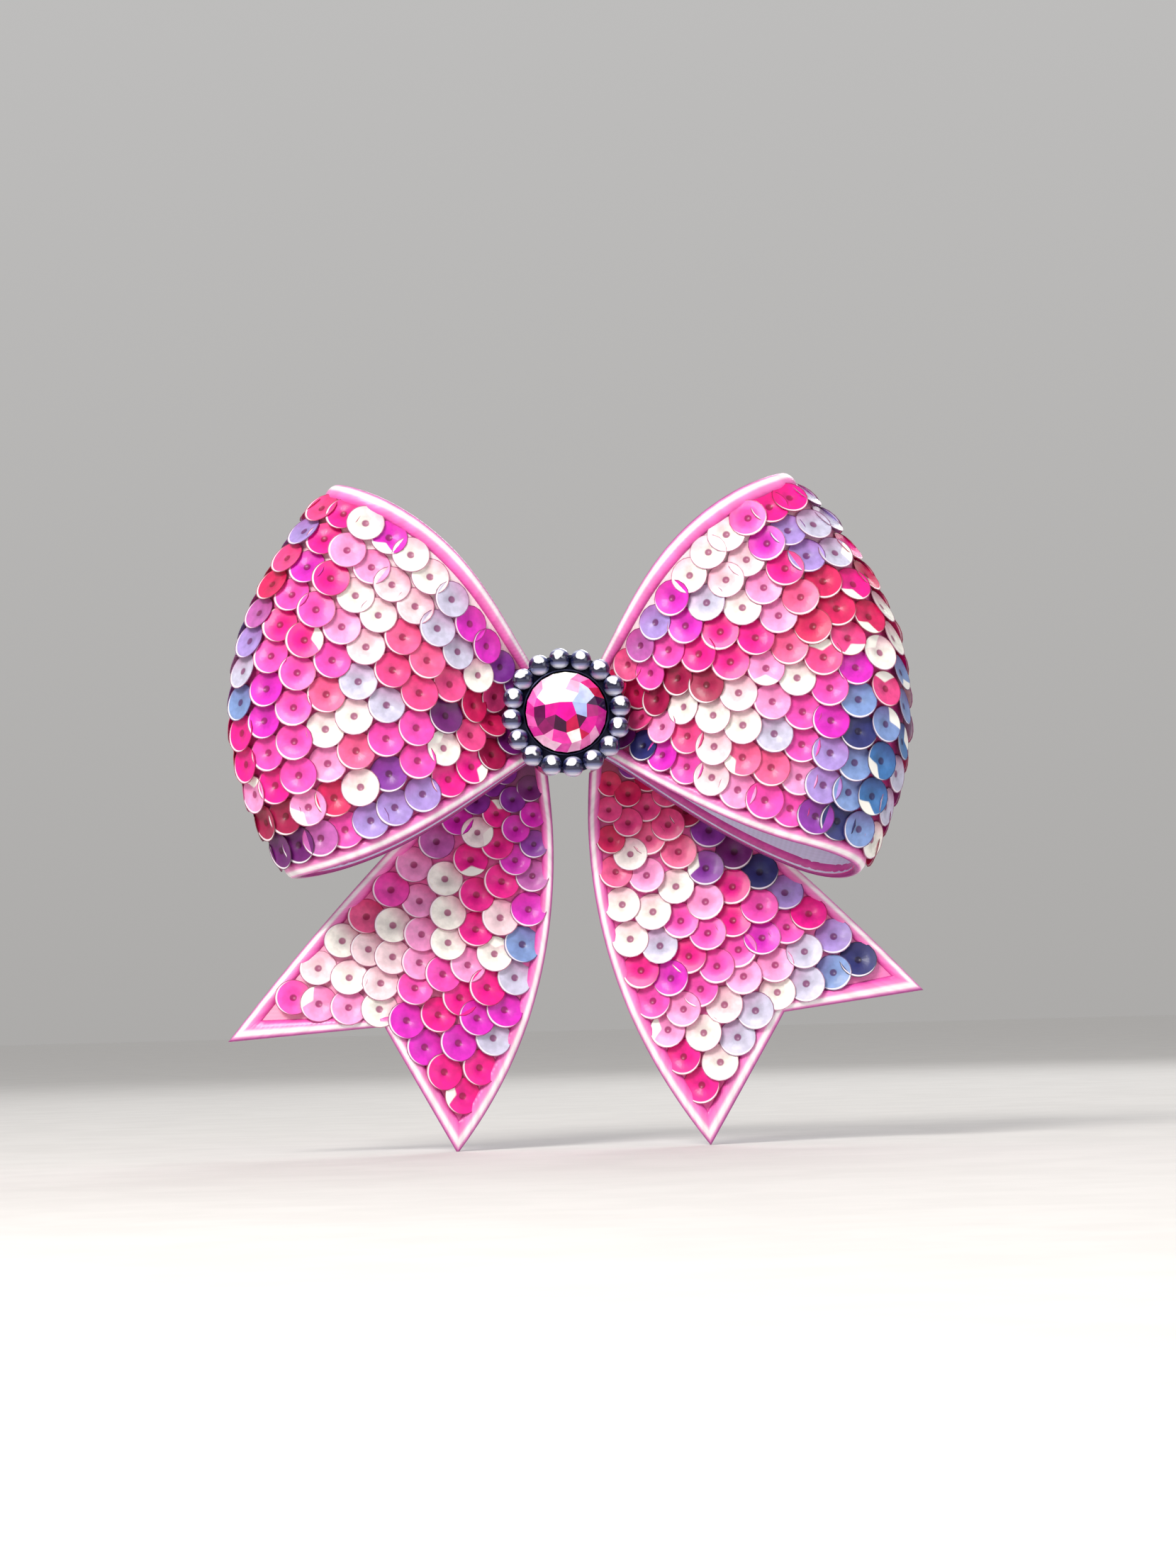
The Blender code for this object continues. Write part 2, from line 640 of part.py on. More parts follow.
def build_lower_jaw():
    """The jaw that opens: a plate from the tip to the pivot, bent there into a thumb lever."""
    bend_x, lever_long = PIVOT.x - 1 * MM, CLIP_END_X - PIVOT.x + 1 * MM
    inner = [
        (CLIP_TIP_X + 0.5 * MM, LOWER_PLATE_Y),
        (bend_x, LOWER_PLATE_Y),
        (bend_x + lever_long, LOWER_PLATE_Y + lever_long * math.tan(LEVER_RISE)),
    ]
    lift = STEEL / math.cos(LEVER_RISE)
    outline = inner + [
        (inner[2][0], inner[2][1] + lift),
        (bend_x, LOWER_PLATE_Y + STEEL + 0.1 * MM),
        (CLIP_TIP_X + 0.5 * MM, LOWER_PLATE_Y + STEEL),
    ]
    jaw = extruded("clip_lower_jaw", outline, -LOWER_HALF_WIDE, LOWER_HALF_WIDE, "steel")
    rounder = flat_strip(
        "lower_jaw_rounder",
        CLIP_TIP_X + 0.4 * MM,
        CLIP_END_X,
        LOWER_HALF_WIDE + 0.5 * MM,
        -5 * MM,
        15 * MM,
        2.5 * MM,
        "steel",
    )
    boolean(jaw, rounder, "INTERSECT")
    wall = toothed_wall(
        CLIP_TIP_X + 3 * MM, 5.5 * MM, LOWER_PLATE_Y + 0.4 * MM, -2.1 * MM, -150, 0
    )
    add_walls(jaw, wall, LOWER_HALF_WIDE, "lower")
    set_origin(jaw, PIVOT)


def build_clip():
    block(
        "clip_felt_patch",
        (-11 * MM, -6.7 * MM, -4.4 * MM),
        (11 * MM, -5.6 * MM, 4.4 * MM),
        "felt",
        rounding=0.3 * MM,
        segments=1,
    )
    flat_strip(
        "clip_lining_ribbon",
        CLIP_TIP_X + 0.5 * MM,
        CLIP_END_X - 0.5 * MM,
        CLIP_HALF_WIDE - 0.6 * MM,
        -5.3 * MM,
        -4.8 * MM,
        2.0 * MM,
        "satin",
    )
    build_top_jaw()
    build_lower_jaw()
    flat_strip(
        "clip_grip_pad", -21 * MM, 4 * MM, 2.2 * MM, -3.4 * MM, -2.5 * MM, 1.0 * MM, "rubber"
    )
    shank, head = CLIP_HALF_WIDE + 0.3 * MM, 1.5 * MM
    pin = turned_solid(
        "clip_pivot_pin",
        [
            (0.0, -shank - 0.5 * MM),
            (head, -shank - 0.5 * MM),
            (head, -shank),
            (PIN_RADIUS, -shank),
            (PIN_RADIUS, shank),
            (head, shank),
            (head, shank + 0.5 * MM),
            (0.0, shank + 0.5 * MM),
        ],
        "steel",
        14,
    )
    pin.matrix_world = Matrix.Translation(PIVOT) @ Matrix.Rotation(math.radians(90), 4, "X")
    build_spring()


def build_spring():
    """A torsion spring on the pin: one leg bears on the top jaw's plate, and the other on the lever."""
    coil_radius, wire_radius, turns, half_long, steps = 1.5 * MM, 0.3 * MM, 5, 2.0 * MM, 12
    start = math.radians(-100)
    end = start + math.tau * turns + math.radians(190)
    count = int((end - start) / math.tau * steps)
    coil = []
    for angle in spread(start, end, count):
        share = (angle - start) / (end - start)
        coil.append(
            PIVOT
            + Vector((math.cos(angle), math.sin(angle), 0)) * coil_radius
            + Vector((0, 0, half_long * (2 * share - 1)))
        )
    fixed_leg = Vector((PIVOT.x + 9 * MM, -3.2 * MM, -half_long))
    moving_leg = Vector((PIVOT.x + 9 * MM, LOWER_PLATE_Y + 3.4 * MM, half_long))
    wire("clip_spring", [fixed_leg, *coil, moving_leg], wire_radius, "steel", sides_level=0)


def main():
    clear_scene()
    for side in SIDES:
        build_loop(side)
        build_tail(side)
    build_knot()
    build_jewel()
    build_clip()


main()
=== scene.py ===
"""A sequinned cheer hair bow with a jewelled knot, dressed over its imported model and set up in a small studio."""

import math
import random

import bpy
from mathutils import Matrix, Vector


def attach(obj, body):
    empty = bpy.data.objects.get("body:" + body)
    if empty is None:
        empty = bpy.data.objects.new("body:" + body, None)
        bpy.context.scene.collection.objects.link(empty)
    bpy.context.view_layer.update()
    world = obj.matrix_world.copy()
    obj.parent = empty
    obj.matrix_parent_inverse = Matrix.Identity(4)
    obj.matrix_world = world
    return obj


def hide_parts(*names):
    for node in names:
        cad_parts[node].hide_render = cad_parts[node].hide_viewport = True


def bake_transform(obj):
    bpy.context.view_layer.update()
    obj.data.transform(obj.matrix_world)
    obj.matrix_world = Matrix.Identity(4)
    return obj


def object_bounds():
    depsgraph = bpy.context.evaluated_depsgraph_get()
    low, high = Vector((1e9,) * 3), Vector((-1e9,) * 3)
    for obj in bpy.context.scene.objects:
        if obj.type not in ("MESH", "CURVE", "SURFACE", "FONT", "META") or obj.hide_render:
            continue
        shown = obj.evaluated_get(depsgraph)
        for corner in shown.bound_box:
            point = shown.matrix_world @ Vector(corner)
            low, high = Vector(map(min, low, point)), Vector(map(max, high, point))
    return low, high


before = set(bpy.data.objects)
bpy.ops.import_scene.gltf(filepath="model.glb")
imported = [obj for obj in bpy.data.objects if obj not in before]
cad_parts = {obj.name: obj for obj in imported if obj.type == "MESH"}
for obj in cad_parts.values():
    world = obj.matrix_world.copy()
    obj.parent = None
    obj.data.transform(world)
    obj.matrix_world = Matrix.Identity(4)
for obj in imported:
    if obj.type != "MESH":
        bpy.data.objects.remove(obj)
CAD_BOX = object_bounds()

MM = 0.001
chance = random.Random(11)

# -------- shape of the bow, as it is cut and tied

SIDES = {"left": -1, "right": 1}
TOP_EDGE = [(0.5, 5.2), (12.0, 6.5), (13.0, 39.0), (47.4, 49.3)]
BOTTOM_EDGE = {
    "left": [(0.5, -5.2), (10.0, -6.5), (30.0, -29.0), (58.2, -32.4)],
    "right": [(0.5, -5.2), (10.0, -6.0), (31.0, -27.5), (60.4, -30.9)],
}
BACK_DROP = {"left": 0.0, "right": 6.0 * MM}  # how far the back half hangs below the front one
FOLD_BULGE = 16.4 * MM
FRONT_RUN, FOLD_START = 0.42, 0.86
NECK_Y, NECK_HALF = -16.6 * MM, 3.6 * MM
BELLY_Y, BELLY_HALF = -23.9 * MM, 11.5 * MM
BELLY_FROM, BELLY_TO = 0.18, 0.72
EDGE_DROP = 0.30
CREASE_DEEP, CREASE_WIDE, CREASE_REACH = 6.5 * MM, 0.13, 0.62
PLEATS, PLEAT_DEEP, PLEAT_REACH = 6, 0.35 * MM, 0.55
CREASE_ONSET, PLEAT_ONSET = 4, 5  # how fast each deepens on its way out from the knot
LOOP_FLAT = (165.0, 82.0)  # the flat band's length and width, in millimetres
TRIM_FROM, TRIM_TO, SEQUINS_TO = 0.084, 0.8975, 0.82  # shares of the band's length

TAIL_INNER = {
    "left": [(5.4, -6.5), (-1.5, -57.0), (25.8, -91.4)],
    "right": [(5.4, -6.5), (-0.5, -53.0), (28.5, -91.0)],
}
TAIL_OUTER = {
    "left": [(12.0, -3.0), (36.0, -21.0), (73.2, -66.8)],
    "right": [(12.0, -3.0), (37.0, -20.0), (73.9, -59.7)],
}
TAIL_NOTCH = {"left": (40.4, -64.7), "right": (44.6, -63.7)}
NOTCH_SHARE = 0.45  # the notch's place across the tail, from its inner edge
TAIL_TOP_Y, TAIL_HANG_Y = -9.2 * MM, -6.6 * MM
TAIL_WAVE, TAIL_CROWN = 3.0 * MM, 2.2 * MM
TAIL_FLAT = (100.0, 60.0)  # the weave's run down and across the tail, in millimetres

RIBBON_THICK = 0.6 * MM
TRIM_WIDE, TRIM_LAP = 2.7 * MM, 0.6 * MM  # the binding, and how far it lies over the sequins' ground
ROLL_STEPS = 14
ROLL_MIDDLE, ROLL_HALF = 0.40, 0.60  # shares of the binding's width
ROLL_LIFT, ROLL_HIGH = 0.38 * MM, 1.12 * MM
NET_THICK, NET_LIFT = 0.35 * MM, 0.15 * MM  # the sequins' ground cloth, and its height over the ribbon

GEM_RADIUS, GEM_Y = 8.5 * MM, -30.1 * MM
BEAD_RADIUS, BEAD_RING, BEADS, BEAD_Y = 2.25 * MM, 11.5 * MM, 16, -29.25 * MM
BEAD_START = -math.tau / BEADS / 4

KNOT_FRONT, KNOT_BACK, KNOT_BOTTOM, KNOT_TOP = -23.6 * MM, -7.0 * MM, -9.8 * MM, 12.2 * MM
KNOT_HALF_WIDE = 4.5 * MM


def bezier(points, t):
    """The point at t on a curve through the first and the last of these points."""
    points = [Vector(p) for p in points]
    while len(points) > 1:
        points = [a.lerp(b, t) for a, b in zip(points, points[1:])]
    return points[0]


def smooth_rise(x):
    """0 to 1 with level ends."""
    x = min(max(x, 0.0), 1.0)
    return x * x * (3 - 2 * x)


def loop_profile(t):
    """How far out from the knot the band is, and how far to the front (1) or the back (-1)."""
    if t < FRONT_RUN:
        return FOLD_START * t / FRONT_RUN, 1.0
    if t > 1 - FRONT_RUN:
        return FOLD_START * (1 - t) / FRONT_RUN, -1.0
    turn = math.pi * (t - FRONT_RUN) / (1 - 2 * FRONT_RUN)
    return FOLD_START + (1 - FOLD_START) * math.sin(turn), math.cos(turn)


def loop_point(side, t, s):
    """A point on the outside of a loop's band, s across it from the bottom edge to the top."""
    reach, swing = loop_profile(t)
    bottom = bezier(BOTTOM_EDGE[side], reach) * MM
    top = bezier(TOP_EDGE, reach) * MM
    x, z = bottom.lerp(top, s)
    crown = 4 * s * (1 - s)
    x += FOLD_BULGE * reach**2 * crown
    at_back = (1 - swing) / 2
    z -= BACK_DROP[side] * at_back * reach**2 * (1 - s) ** 2
    belly = smooth_rise((reach - BELLY_FROM) / (BELLY_TO - BELLY_FROM))
    half = NECK_HALF + (BELLY_HALF - NECK_HALF) * belly
    front_share = max(swing, 0.0)
    y = NECK_Y + (BELLY_Y - NECK_Y) * belly - half * swing
    y += half * EDGE_DROP * (1 - crown) * front_share * belly
    crease = math.exp(-(((s - 0.5) / CREASE_WIDE) ** 2)) * smooth_rise(reach * CREASE_ONSET)
    y += CREASE_DEEP * crease * (1 - smooth_rise(reach / CREASE_REACH)) * front_share
    pleats = PLEAT_DEEP * math.cos(math.tau * PLEATS * s) * smooth_rise(reach * PLEAT_ONSET)
    y -= pleats * swing * (1 - smooth_rise(reach / PLEAT_REACH))
    return Vector((SIDES[side] * x, y, z))


def tail_point(side, l, w):
    """A point on the front of a tail, l down it from the knot and w across it from its inner edge."""
    inner, outer = bezier(TAIL_INNER[side], l), bezier(TAIL_OUTER[side], l)
    tips = Vector(TAIL_INNER[side][-1]), Vector(TAIL_OUTER[side][-1])
    notch = Vector(TAIL_NOTCH[side])
    if w < NOTCH_SHARE:
        end = tips[0].lerp(notch, w / NOTCH_SHARE)
    else:
        end = notch.lerp(tips[1], (w - NOTCH_SHARE) / (1 - NOTCH_SHARE))
    x, z = (inner.lerp(outer, w) + (end - tips[0].lerp(tips[1], w)) * l**2) * MM
    y = TAIL_TOP_Y + (TAIL_HANG_Y - TAIL_TOP_Y) * smooth_rise(l / 0.15)
    y -= TAIL_WAVE * smooth_rise((l - 0.55) / 0.45)
    y -= TAIL_CROWN * 4 * w * (1 - w) * smooth_rise((l - 0.3) / 0.4)
    return Vector((SIDES[side] * x, y, z))


def slopes(surface, side, a, b):
    """Directions along and across the cloth at (a, b), and outwards from it."""
    step = 1e-3
    along = surface(side, a + step, b) - surface(side, a - step, b)
    across = surface(side, a, b + step) - surface(side, a, b - step)
    return along, across, along.cross(across).normalized() * SIDES[side]


def lifted(surface, side, a, b, height):
    """A point this far outside the cloth."""
    return surface(side, a, b) + slopes(surface, side, a, b)[2] * height


def width_at(surface, side, a):
    return (surface(side, a, 1.0) - surface(side, a, 0.0)).length


def spread(low, high, count):
    """A count of values, evenly from low to high."""
    return [low + (high - low) * i / (count - 1) for i in range(count)]


def facing_out(side, rows):
    """Rows in the order that turns a cloth's front outwards."""
    return rows[::-1] if side == "right" else rows


# -------- materials


def colour(text):
    """An sRGB hex colour as linear RGBA."""
    channels = [int(text[i : i + 2], 16) / 255 for i in (0, 2, 4)]
    linear = [c / 12.92 if c <= 0.04045 else ((c + 0.055) / 1.055) ** 2.4 for c in channels]
    return (*linear, 1.0)


def new_finish(name, **settings):
    """A material with these settings on its shader, and its node tree."""
    finish = bpy.data.materials.new(name)
    finish.use_nodes = True
    shader = finish.node_tree.nodes["Principled BSDF"]
    for socket, value in settings.items():
        shader.inputs[socket.replace("_", " ")].default_value = value
    return finish, finish.node_tree, shader


def node(tree, kind, inputs, **settings):
    """Adds a node with its settings and links."""
    made = tree.nodes.new("ShaderNode" + kind)
    for name, value in settings.items():
        setattr(made, name, value)
    for socket, value in inputs.items():
        if isinstance(value, bpy.types.NodeSocket):
            tree.links.new(value, made.inputs[socket])
        else:
            made.inputs[socket].default_value = value
    return made


def ramp(tree, share, stops):
    """A colour from a row of places and sRGB hex colours, as a socket."""
    made = node(tree, "ValToRGB", {"Fac": share})
    for number, (place, shade) in enumerate(stops):
        stop = made.color_ramp.elements[number] if number < 2 else made.color_ramp.elements.new(place)
        stop.position, stop.color = place, colour(shade)
    return made.outputs[0]


def on_piece(tree):
    """Places on the piece, in metres, as a socket."""
    return node(tree, "TexCoord", {}).outputs["Object"]


def on_map(tree, name):
    """Places on one of the mesh's maps, as a socket."""
    return node(tree, "UVMap", {}, uv_map=name).outputs[0]


def stored(tree, name, output="Color"):
    """What the mesh stores under this name, as a socket."""
    return node(tree, "Attribute", {}, attribute_name=name).outputs[output]


def noise(tree, places, scale, detail=2.0):
    """Cloudy noise, as a socket."""
    return node(tree, "TexNoise", {"Vector": places, "Scale": scale, "Detail": detail}).outputs["Fac"]


def maths(tree, operation, first, second):
    return node(tree, "Math", {0: first, 1: second}, operation=operation).outputs[0]


def vectors(tree, operation, *places):
    """Vector maths, as the node's outputs: a vector first, and a number named Value."""
    return node(tree, "VectorMath", dict(enumerate(places)), operation=operation).outputs


def mapped(tree, value, low, high, to_low=0.0, to_high=1.0):
    """A value fitted smoothly from one range to another, as a socket."""
    inputs = {"Value": value, "From Min": low, "From Max": high, "To Min": to_low, "To Max": to_high}
    return node(tree, "MapRange", inputs, interpolation_type="SMOOTHSTEP").outputs[0]


def blended(tree, share, first, second, way="MIX"):
    """Two colours mixed, as a socket."""
    inputs = {0: share, 6: first, 7: second}
    return node(tree, "Mix", inputs, data_type="RGBA", blend_type=way).outputs[2]


def grained(tree, shader, height, distance, strength=0.5):
    """Puts this height on the shader as a bump."""
    bump = node(tree, "Bump", {"Height": height, "Distance": distance, "Strength": strength})
    tree.links.new(bump.outputs[0], shader.inputs["Normal"])


def coloured(tree, shader, shade):
    tree.links.new(shade, shader.inputs["Base Color"])


def times(tree, first, second):
    return blended(tree, 1.0, first, second, "MULTIPLY")


def toned(tree, shader, ground, tone):
    """Colours the shader with a ground, darkened or lightened by a tone."""
    coloured(tree, shader, times(tree, ground, tone))


def two_toned(tree, shader, share, first, second):
    coloured(tree, shader, blended(tree, share, colour(first), colour(second)))


def sequin_film():
    """Metallised polyester film, punched into discs and pressed into a shallow cup. To the eye: a saturated
    face with a soft sheen, painted shade in the hollow and on the upper part under its neighbours, a painted dark
    hole, a painted highlight on the lower lip, a painted flash on some, and painted shade at the cut edge."""
    finish, tree, shader = new_finish(
        "metallised_polyester_sequin", Roughness=0.42, IOR=1.45, Coat_Weight=0.12, Coat_Roughness=0.12
    )
    # Places on the face, with the hole at 0 and the rim at 1.
    face = {"Vector": on_map(tree, "face"), "Location": (-1, -1, 0), "Scale": (2, 2, 1)}
    place = node(tree, "Mapping", face).outputs[0]
    radius = vectors(tree, "LENGTH", place)["Value"]
    ray = vectors(tree, "NORMALIZE", place)[0]
    tint, glare = stored(tree, "tint"), stored(tree, "glare", "Vector")

    # Dye takes unevenly in patches about 1.5 mm across.
    patches = noise(tree, on_piece(tree), 650.0, 3.0)
    wash = mapped(tree, patches, 0.3, 0.7, 0.86, 1.08)
    # Painted shade: the face darkens towards the hole, in the cup's hollow.
    inner = mapped(tree, radius, 0.12, 0.75, 0.84, 1.0)
    open_face = times(tree, tint, maths(tree, "MULTIPLY", wash, inner))
    # The upper part lies under its neighbours: a rosy painted shadow darkens it.
    upwards = node(tree, "SeparateXYZ", {"Vector": place}).outputs["Y"]
    painted_tuck_shadow = times(tree, open_face, (0.80, 0.34, 0.54, 1.0))
    face_colour = blended(tree, mapped(tree, upwards, -0.2, 1.05, 0.0, 0.8), open_face, painted_tuck_shadow)

    # A painted highlight runs along the cup's lower lip, where it catches light.
    low = vectors(tree, "ADD", place, (-0.08, -0.10, 0))[0]
    lip = vectors(tree, "LENGTH", low)["Value"]
    lip_highlight_share = mapped(tree, lip, 0.965, 1.01, 0.0, 0.85)
    lit = blended(tree, lip_highlight_share, face_colour, colour("FFF4FB"))

    # Some cups get a painted petal-shaped flash of the lamp, from near the hole out to the lip.
    heading = vectors(tree, "ADD", ray, place)[0]
    along = vectors(tree, "DOT_PRODUCT", heading, glare)["Value"]
    wedge = mapped(tree, along, 1.30, 1.44)
    flashed = blended(tree, wedge, lit, colour("FFFDF4"))

    # Painted shade: a dark disc over the hole for the shade inside it, and a dark ring at the cut edge for the shadow
    # between neighbours.
    dark = times(tree, tint, (0.34, 0.08, 0.20, 1.0))
    hole = mapped(tree, radius, 0.23, 0.15, 0.0, 0.92)
    pricked = blended(tree, hole, flashed, dark)
    edge = mapped(tree, radius, 0.925, 0.965, 0.0, 0.9)
    coloured(tree, shader, blended(tree, edge, pricked, dark))
    grained(tree, shader, patches, 0.06 * MM, 0.25)
    return finish


def satin(name, base, light, dark="", dye_and_light_on_mesh=False):
    """Woven polyester satin ribbon. To the eye: a soft directional sheen over fine ribs, and painted sheen: long
    soft streaks of paler and darker colour along the ribbon. The ground satin takes its ground colour from the
    cloth instead, where colour and painted light are stored."""
    sheen = {"Sheen_Weight": 0.35, "Sheen_Roughness": 0.35, "Sheen_Tint": colour(light)}
    finish, tree, shader = new_finish(name, Roughness=0.42, IOR=1.5, Anisotropic=0.5, **sheen)
    weave = on_map(tree, "weave")
    # Ribs a millimetre apart: real ones are 0.3 mm, too fine to show.
    across = {"Vector": weave, "Scale": 0.32, "Distortion": 1.2, "Detail": 1.0}
    ribs = node(tree, "TexWave", across, bands_direction="X").outputs["Fac"]
    along = {"Vector": weave, "Scale": 0.55, "Distortion": 0.6}
    threads = node(tree, "TexWave", along, bands_direction="Y").outputs["Fac"]
    # Painted sheen: long soft streaks along the ribbon, paler and darker, from stretched noise.
    lengthways = node(tree, "Mapping", {"Vector": weave, "Scale": (0.3, 1.0, 1.0)}).outputs[0]
    painted_sheen_streaks = noise(tree, lengthways, 0.10, 1.5)
    # The ground's stored colour carries painted shade and painted highlight as well as its dye.
    if dye_and_light_on_mesh:
        ground = stored(tree, "tint")
    else:
        ground = ramp(tree, painted_sheen_streaks, [(0.0, dark), (0.45, base), (1.0, light)])
    sheen_streak_tone = mapped(tree, painted_sheen_streaks, 0.3, 0.7, 0.92, 1.05)
    rib_tone = mapped(tree, ribs, 0.0, 1.0, 0.97, 1.02)
    toned(tree, shader, ground, maths(tree, "MULTIPLY", sheen_streak_tone, rib_tone))
    grained(tree, shader, maths(tree, "ADD", ribs, threads), 0.04 * MM, 0.25)
    return finish


def piping_satin():
    """A bias strip of polyester satin, rolled over the cut edge. To the eye: a painted highlight, a bright line
    along the top of the roll, and painted shade, rose to plum, where it turns under."""
    finish, tree, shader = new_finish(
        "rolled_satin_binding", Roughness=0.36, IOR=1.5, Sheen_Weight=0.3, Sheen_Roughness=0.3, Coat_Weight=0.15
    )
    roll = on_map(tree, "weave")
    parts = node(tree, "SeparateXYZ", {"Vector": roll})
    # Across the roll, 0 is at the back, 0.25 at the outer edge and 0.75 at the sequins. The white stops near
    # 0.44 are a painted highlight, and the darker stops by 0.25 and 0.75 painted shade where the roll turns under.
    highlight_and_shade_bands = [
        (0.0, "E04FA8"), (0.20, "8F2C78"), (0.32, "B8439A"), (0.37, "EE8CCB"), (0.41, "FFF2F8"),
        (0.47, "FFF6FA"), (0.52, "F78FCD"), (0.62, "F25DB8"), (0.78, "D23A98"), (1.0, "E04FA8"),
    ]
    ground = ramp(tree, parts.outputs["Y"], highlight_and_shade_bands)
    # The strip is cut on the bias, so its threads run slantwise, drawn 0.8 mm apart for 0.3 mm ones.
    slant = node(tree, "Mapping", {"Vector": roll, "Scale": (1.0, 9.0, 1.0), "Rotation": (0, 0, 0.8)}).outputs[0]
    threads = node(tree, "TexWave", {"Vector": slant, "Scale": 0.4, "Distortion": 0.8}).outputs["Fac"]
    toned(tree, shader, ground, mapped(tree, noise(tree, roll, 0.35), 0.3, 0.7, 0.84, 1.05))
    grained(tree, shader, threads, 0.05 * MM, 0.4)
    return finish


def cut_stone():
    """Foil-backed cut glass. To the eye: flat mirror-bright facets, each painted one colour, from white to plum:
    the glass's pink and painted reflections.
    """
    finish, tree, shader = new_finish(
        "foiled_cut_glass", Roughness=0.12, IOR=1.52, Specular_IOR_Level=0.2, Coat_Weight=0.08, Coat_Roughness=0.03
    )
    # Foil crinkles behind the glass about 2 mm apart.
    foil = noise(tree, on_piece(tree), 480.0)
    toned(tree, shader, stored(tree, "tint"), mapped(tree, foil, 0.3, 0.7, 0.84, 1.1))
    return finish


def polished_hematite():
    """Polished hematite. To the eye: a near-black navy ball with painted reflections, a white flash above and a
    grey glow below.
    """
    finish, tree, shader = new_finish(
        "polished_hematite", Metallic=0.1, Roughness=0.16, Coat_Weight=0.7, Coat_Roughness=0.05
    )
    # Each bead stores how high a place is on it, and how squarely it faces the lamp, for its painted reflections
    # and painted flash.
    parts = node(tree, "SeparateXYZ", {"Vector": stored(tree, "glint", "Vector")})
    # Painted reflections by height: pale near the bottom and near the top, dark navy round the middle.
    steps = [
        (0.0, "6E7396"), (0.10, "E3E5F2"), (0.24, "7C82AC"), (0.35, "191B42"),
        (0.62, "0E1030"), (0.78, "4A5286"), (0.88, "C3C8E0"), (1.0, "8087B0"),
    ]
    ground = ramp(tree, parts.outputs["X"], steps)
    spot = on_piece(tree)
    # The painted flash of the lamp breaks up over flats about 1.5 mm across.
    flats = node(tree, "TexVoronoi", {"Vector": spot, "Scale": 650.0}).outputs["Distance"]
    broken = mapped(tree, flats, 0.0, 0.8, 0.10, -0.10)
    flash = mapped(tree, maths(tree, "ADD", parts.outputs["Y"], broken), 0.80, 0.85)
    coloured(tree, shader, blended(tree, flash, ground, colour("F6F8FC")))
    # Polishing leaves a faint waviness, about 1 mm across.
    grained(tree, shader, noise(tree, spot, 900.0), 0.05 * MM, 0.2)
    return finish


def metal(name, base, worn, roughness, brush):
    """Plated steel, brushed or tumbled. To the eye: grey with fine scratches and warmer rubbed patches."""
    finish, tree, shader = new_finish(name, Metallic=1.0)
    spot = on_piece(tree)
    streaks = node(tree, "Mapping", {"Vector": spot, "Scale": brush}).outputs[0]
    # Brush marks drawn coarser than real ones, and patches rubbed bare about 8 mm across.
    marks = noise(tree, streaks, 400.0, 5.0)
    rubbed = noise(tree, spot, 130.0)
    two_toned(tree, shader, mapped(tree, rubbed, 0.4, 0.7), base, worn)
    tree.links.new(mapped(tree, marks, 0.3, 0.7, roughness * 0.7, roughness * 1.4), shader.inputs["Roughness"])
    grained(tree, shader, marks, 0.03 * MM, 0.3)
    return finish


def felt():
    """Pressed polyester felt. To the eye: a matt, fuzzy charcoal with lighter stray fibres."""
    finish, tree, shader = new_finish(
        "pressed_polyester_felt", Roughness=0.95, Sheen_Weight=0.5, Sheen_Roughness=0.6
    )
    # Fibres mat together in clumps about 0.6 mm across.
    clumps = noise(tree, on_piece(tree), 1700.0, 6.0)
    coloured(tree, shader, ramp(tree, clumps, [(0.35, "1C1822"), (0.6, "332C3A"), (0.72, "5B5364")]))
    grained(tree, shader, clumps, 0.25 * MM, 0.8)
    return finish


def nylon():
    """Moulded natural nylon. To the eye: milky white with a waxy sheen and a fine drag along the strap."""
    finish, tree, shader = new_finish(
        "moulded_nylon", Roughness=0.4, IOR=1.53, Subsurface_Weight=0.15, Subsurface_Scale=1.0 * MM
    )
    # Flow marks of the mould, a millimetre or two long.
    flow = noise(tree, on_piece(tree), 700.0, 3.0)
    two_toned(tree, shader, mapped(tree, flow, 0.3, 0.7), "E6E3DA", "F7F5EF")
    grained(tree, shader, flow, 0.04 * MM, 0.3)
    return finish


def rubber():
    """Moulded thermoplastic rubber. To the eye: matt black with a fine pebbled skin."""
    finish, tree, shader = new_finish("moulded_rubber", Roughness=0.8, IOR=1.5)
    # The mould's spark-eroded grain, drawn 0.5 mm across.
    grain = node(tree, "TexVoronoi", {"Vector": on_piece(tree), "Scale": 2000.0}).outputs["Distance"]
    two_toned(tree, shader, mapped(tree, grain, 0.1, 0.7), "19171C", "2E2A33")
    grained(tree, shader, grain, 0.08 * MM, 0.6)
    return finish


def backdrop_paper():
    """Matt studio paper. To the eye: an even pale ground with barely seen fibres."""
    finish, tree, shader = new_finish("studio_paper", Roughness=0.9)
    fibres = noise(tree, on_piece(tree), 60.0, 5.0)
    two_toned(tree, shader, mapped(tree, fibres, 0.3, 0.7), "DAD8D6", "DFDDDB")
    return finish


SEQUIN = sequin_film()
SATIN = satin("woven_polyester_satin", "E8489F", "F883C2", dark="CC3484")
LINING = satin("pale_satin_lining", "E2DEF9", "F1EEFF", dark="D6D0F5")
# The ground satin's colour is stored on the cloth: its dye, with painted shade and painted highlight.
NET = satin("satin_ground_dye_and_painted_light", "E4479F", "FFD0E6", dye_and_light_on_mesh=True)
PIPING = piping_satin()
STONE = cut_stone()
HEMATITE = polished_hematite()
GUNMETAL = metal("gunmetal_plated_brass", "23253A", "3B3D55", 0.28, (1, 1, 1))
NICKEL = metal("nickel_plated_spring_steel", "C3C5CB", "CFCECB", 0.26, (0.08, 1, 1))
FELT = felt()
NYLON = nylon()
RUBBER = rubber()

# -------- tools for making pieces


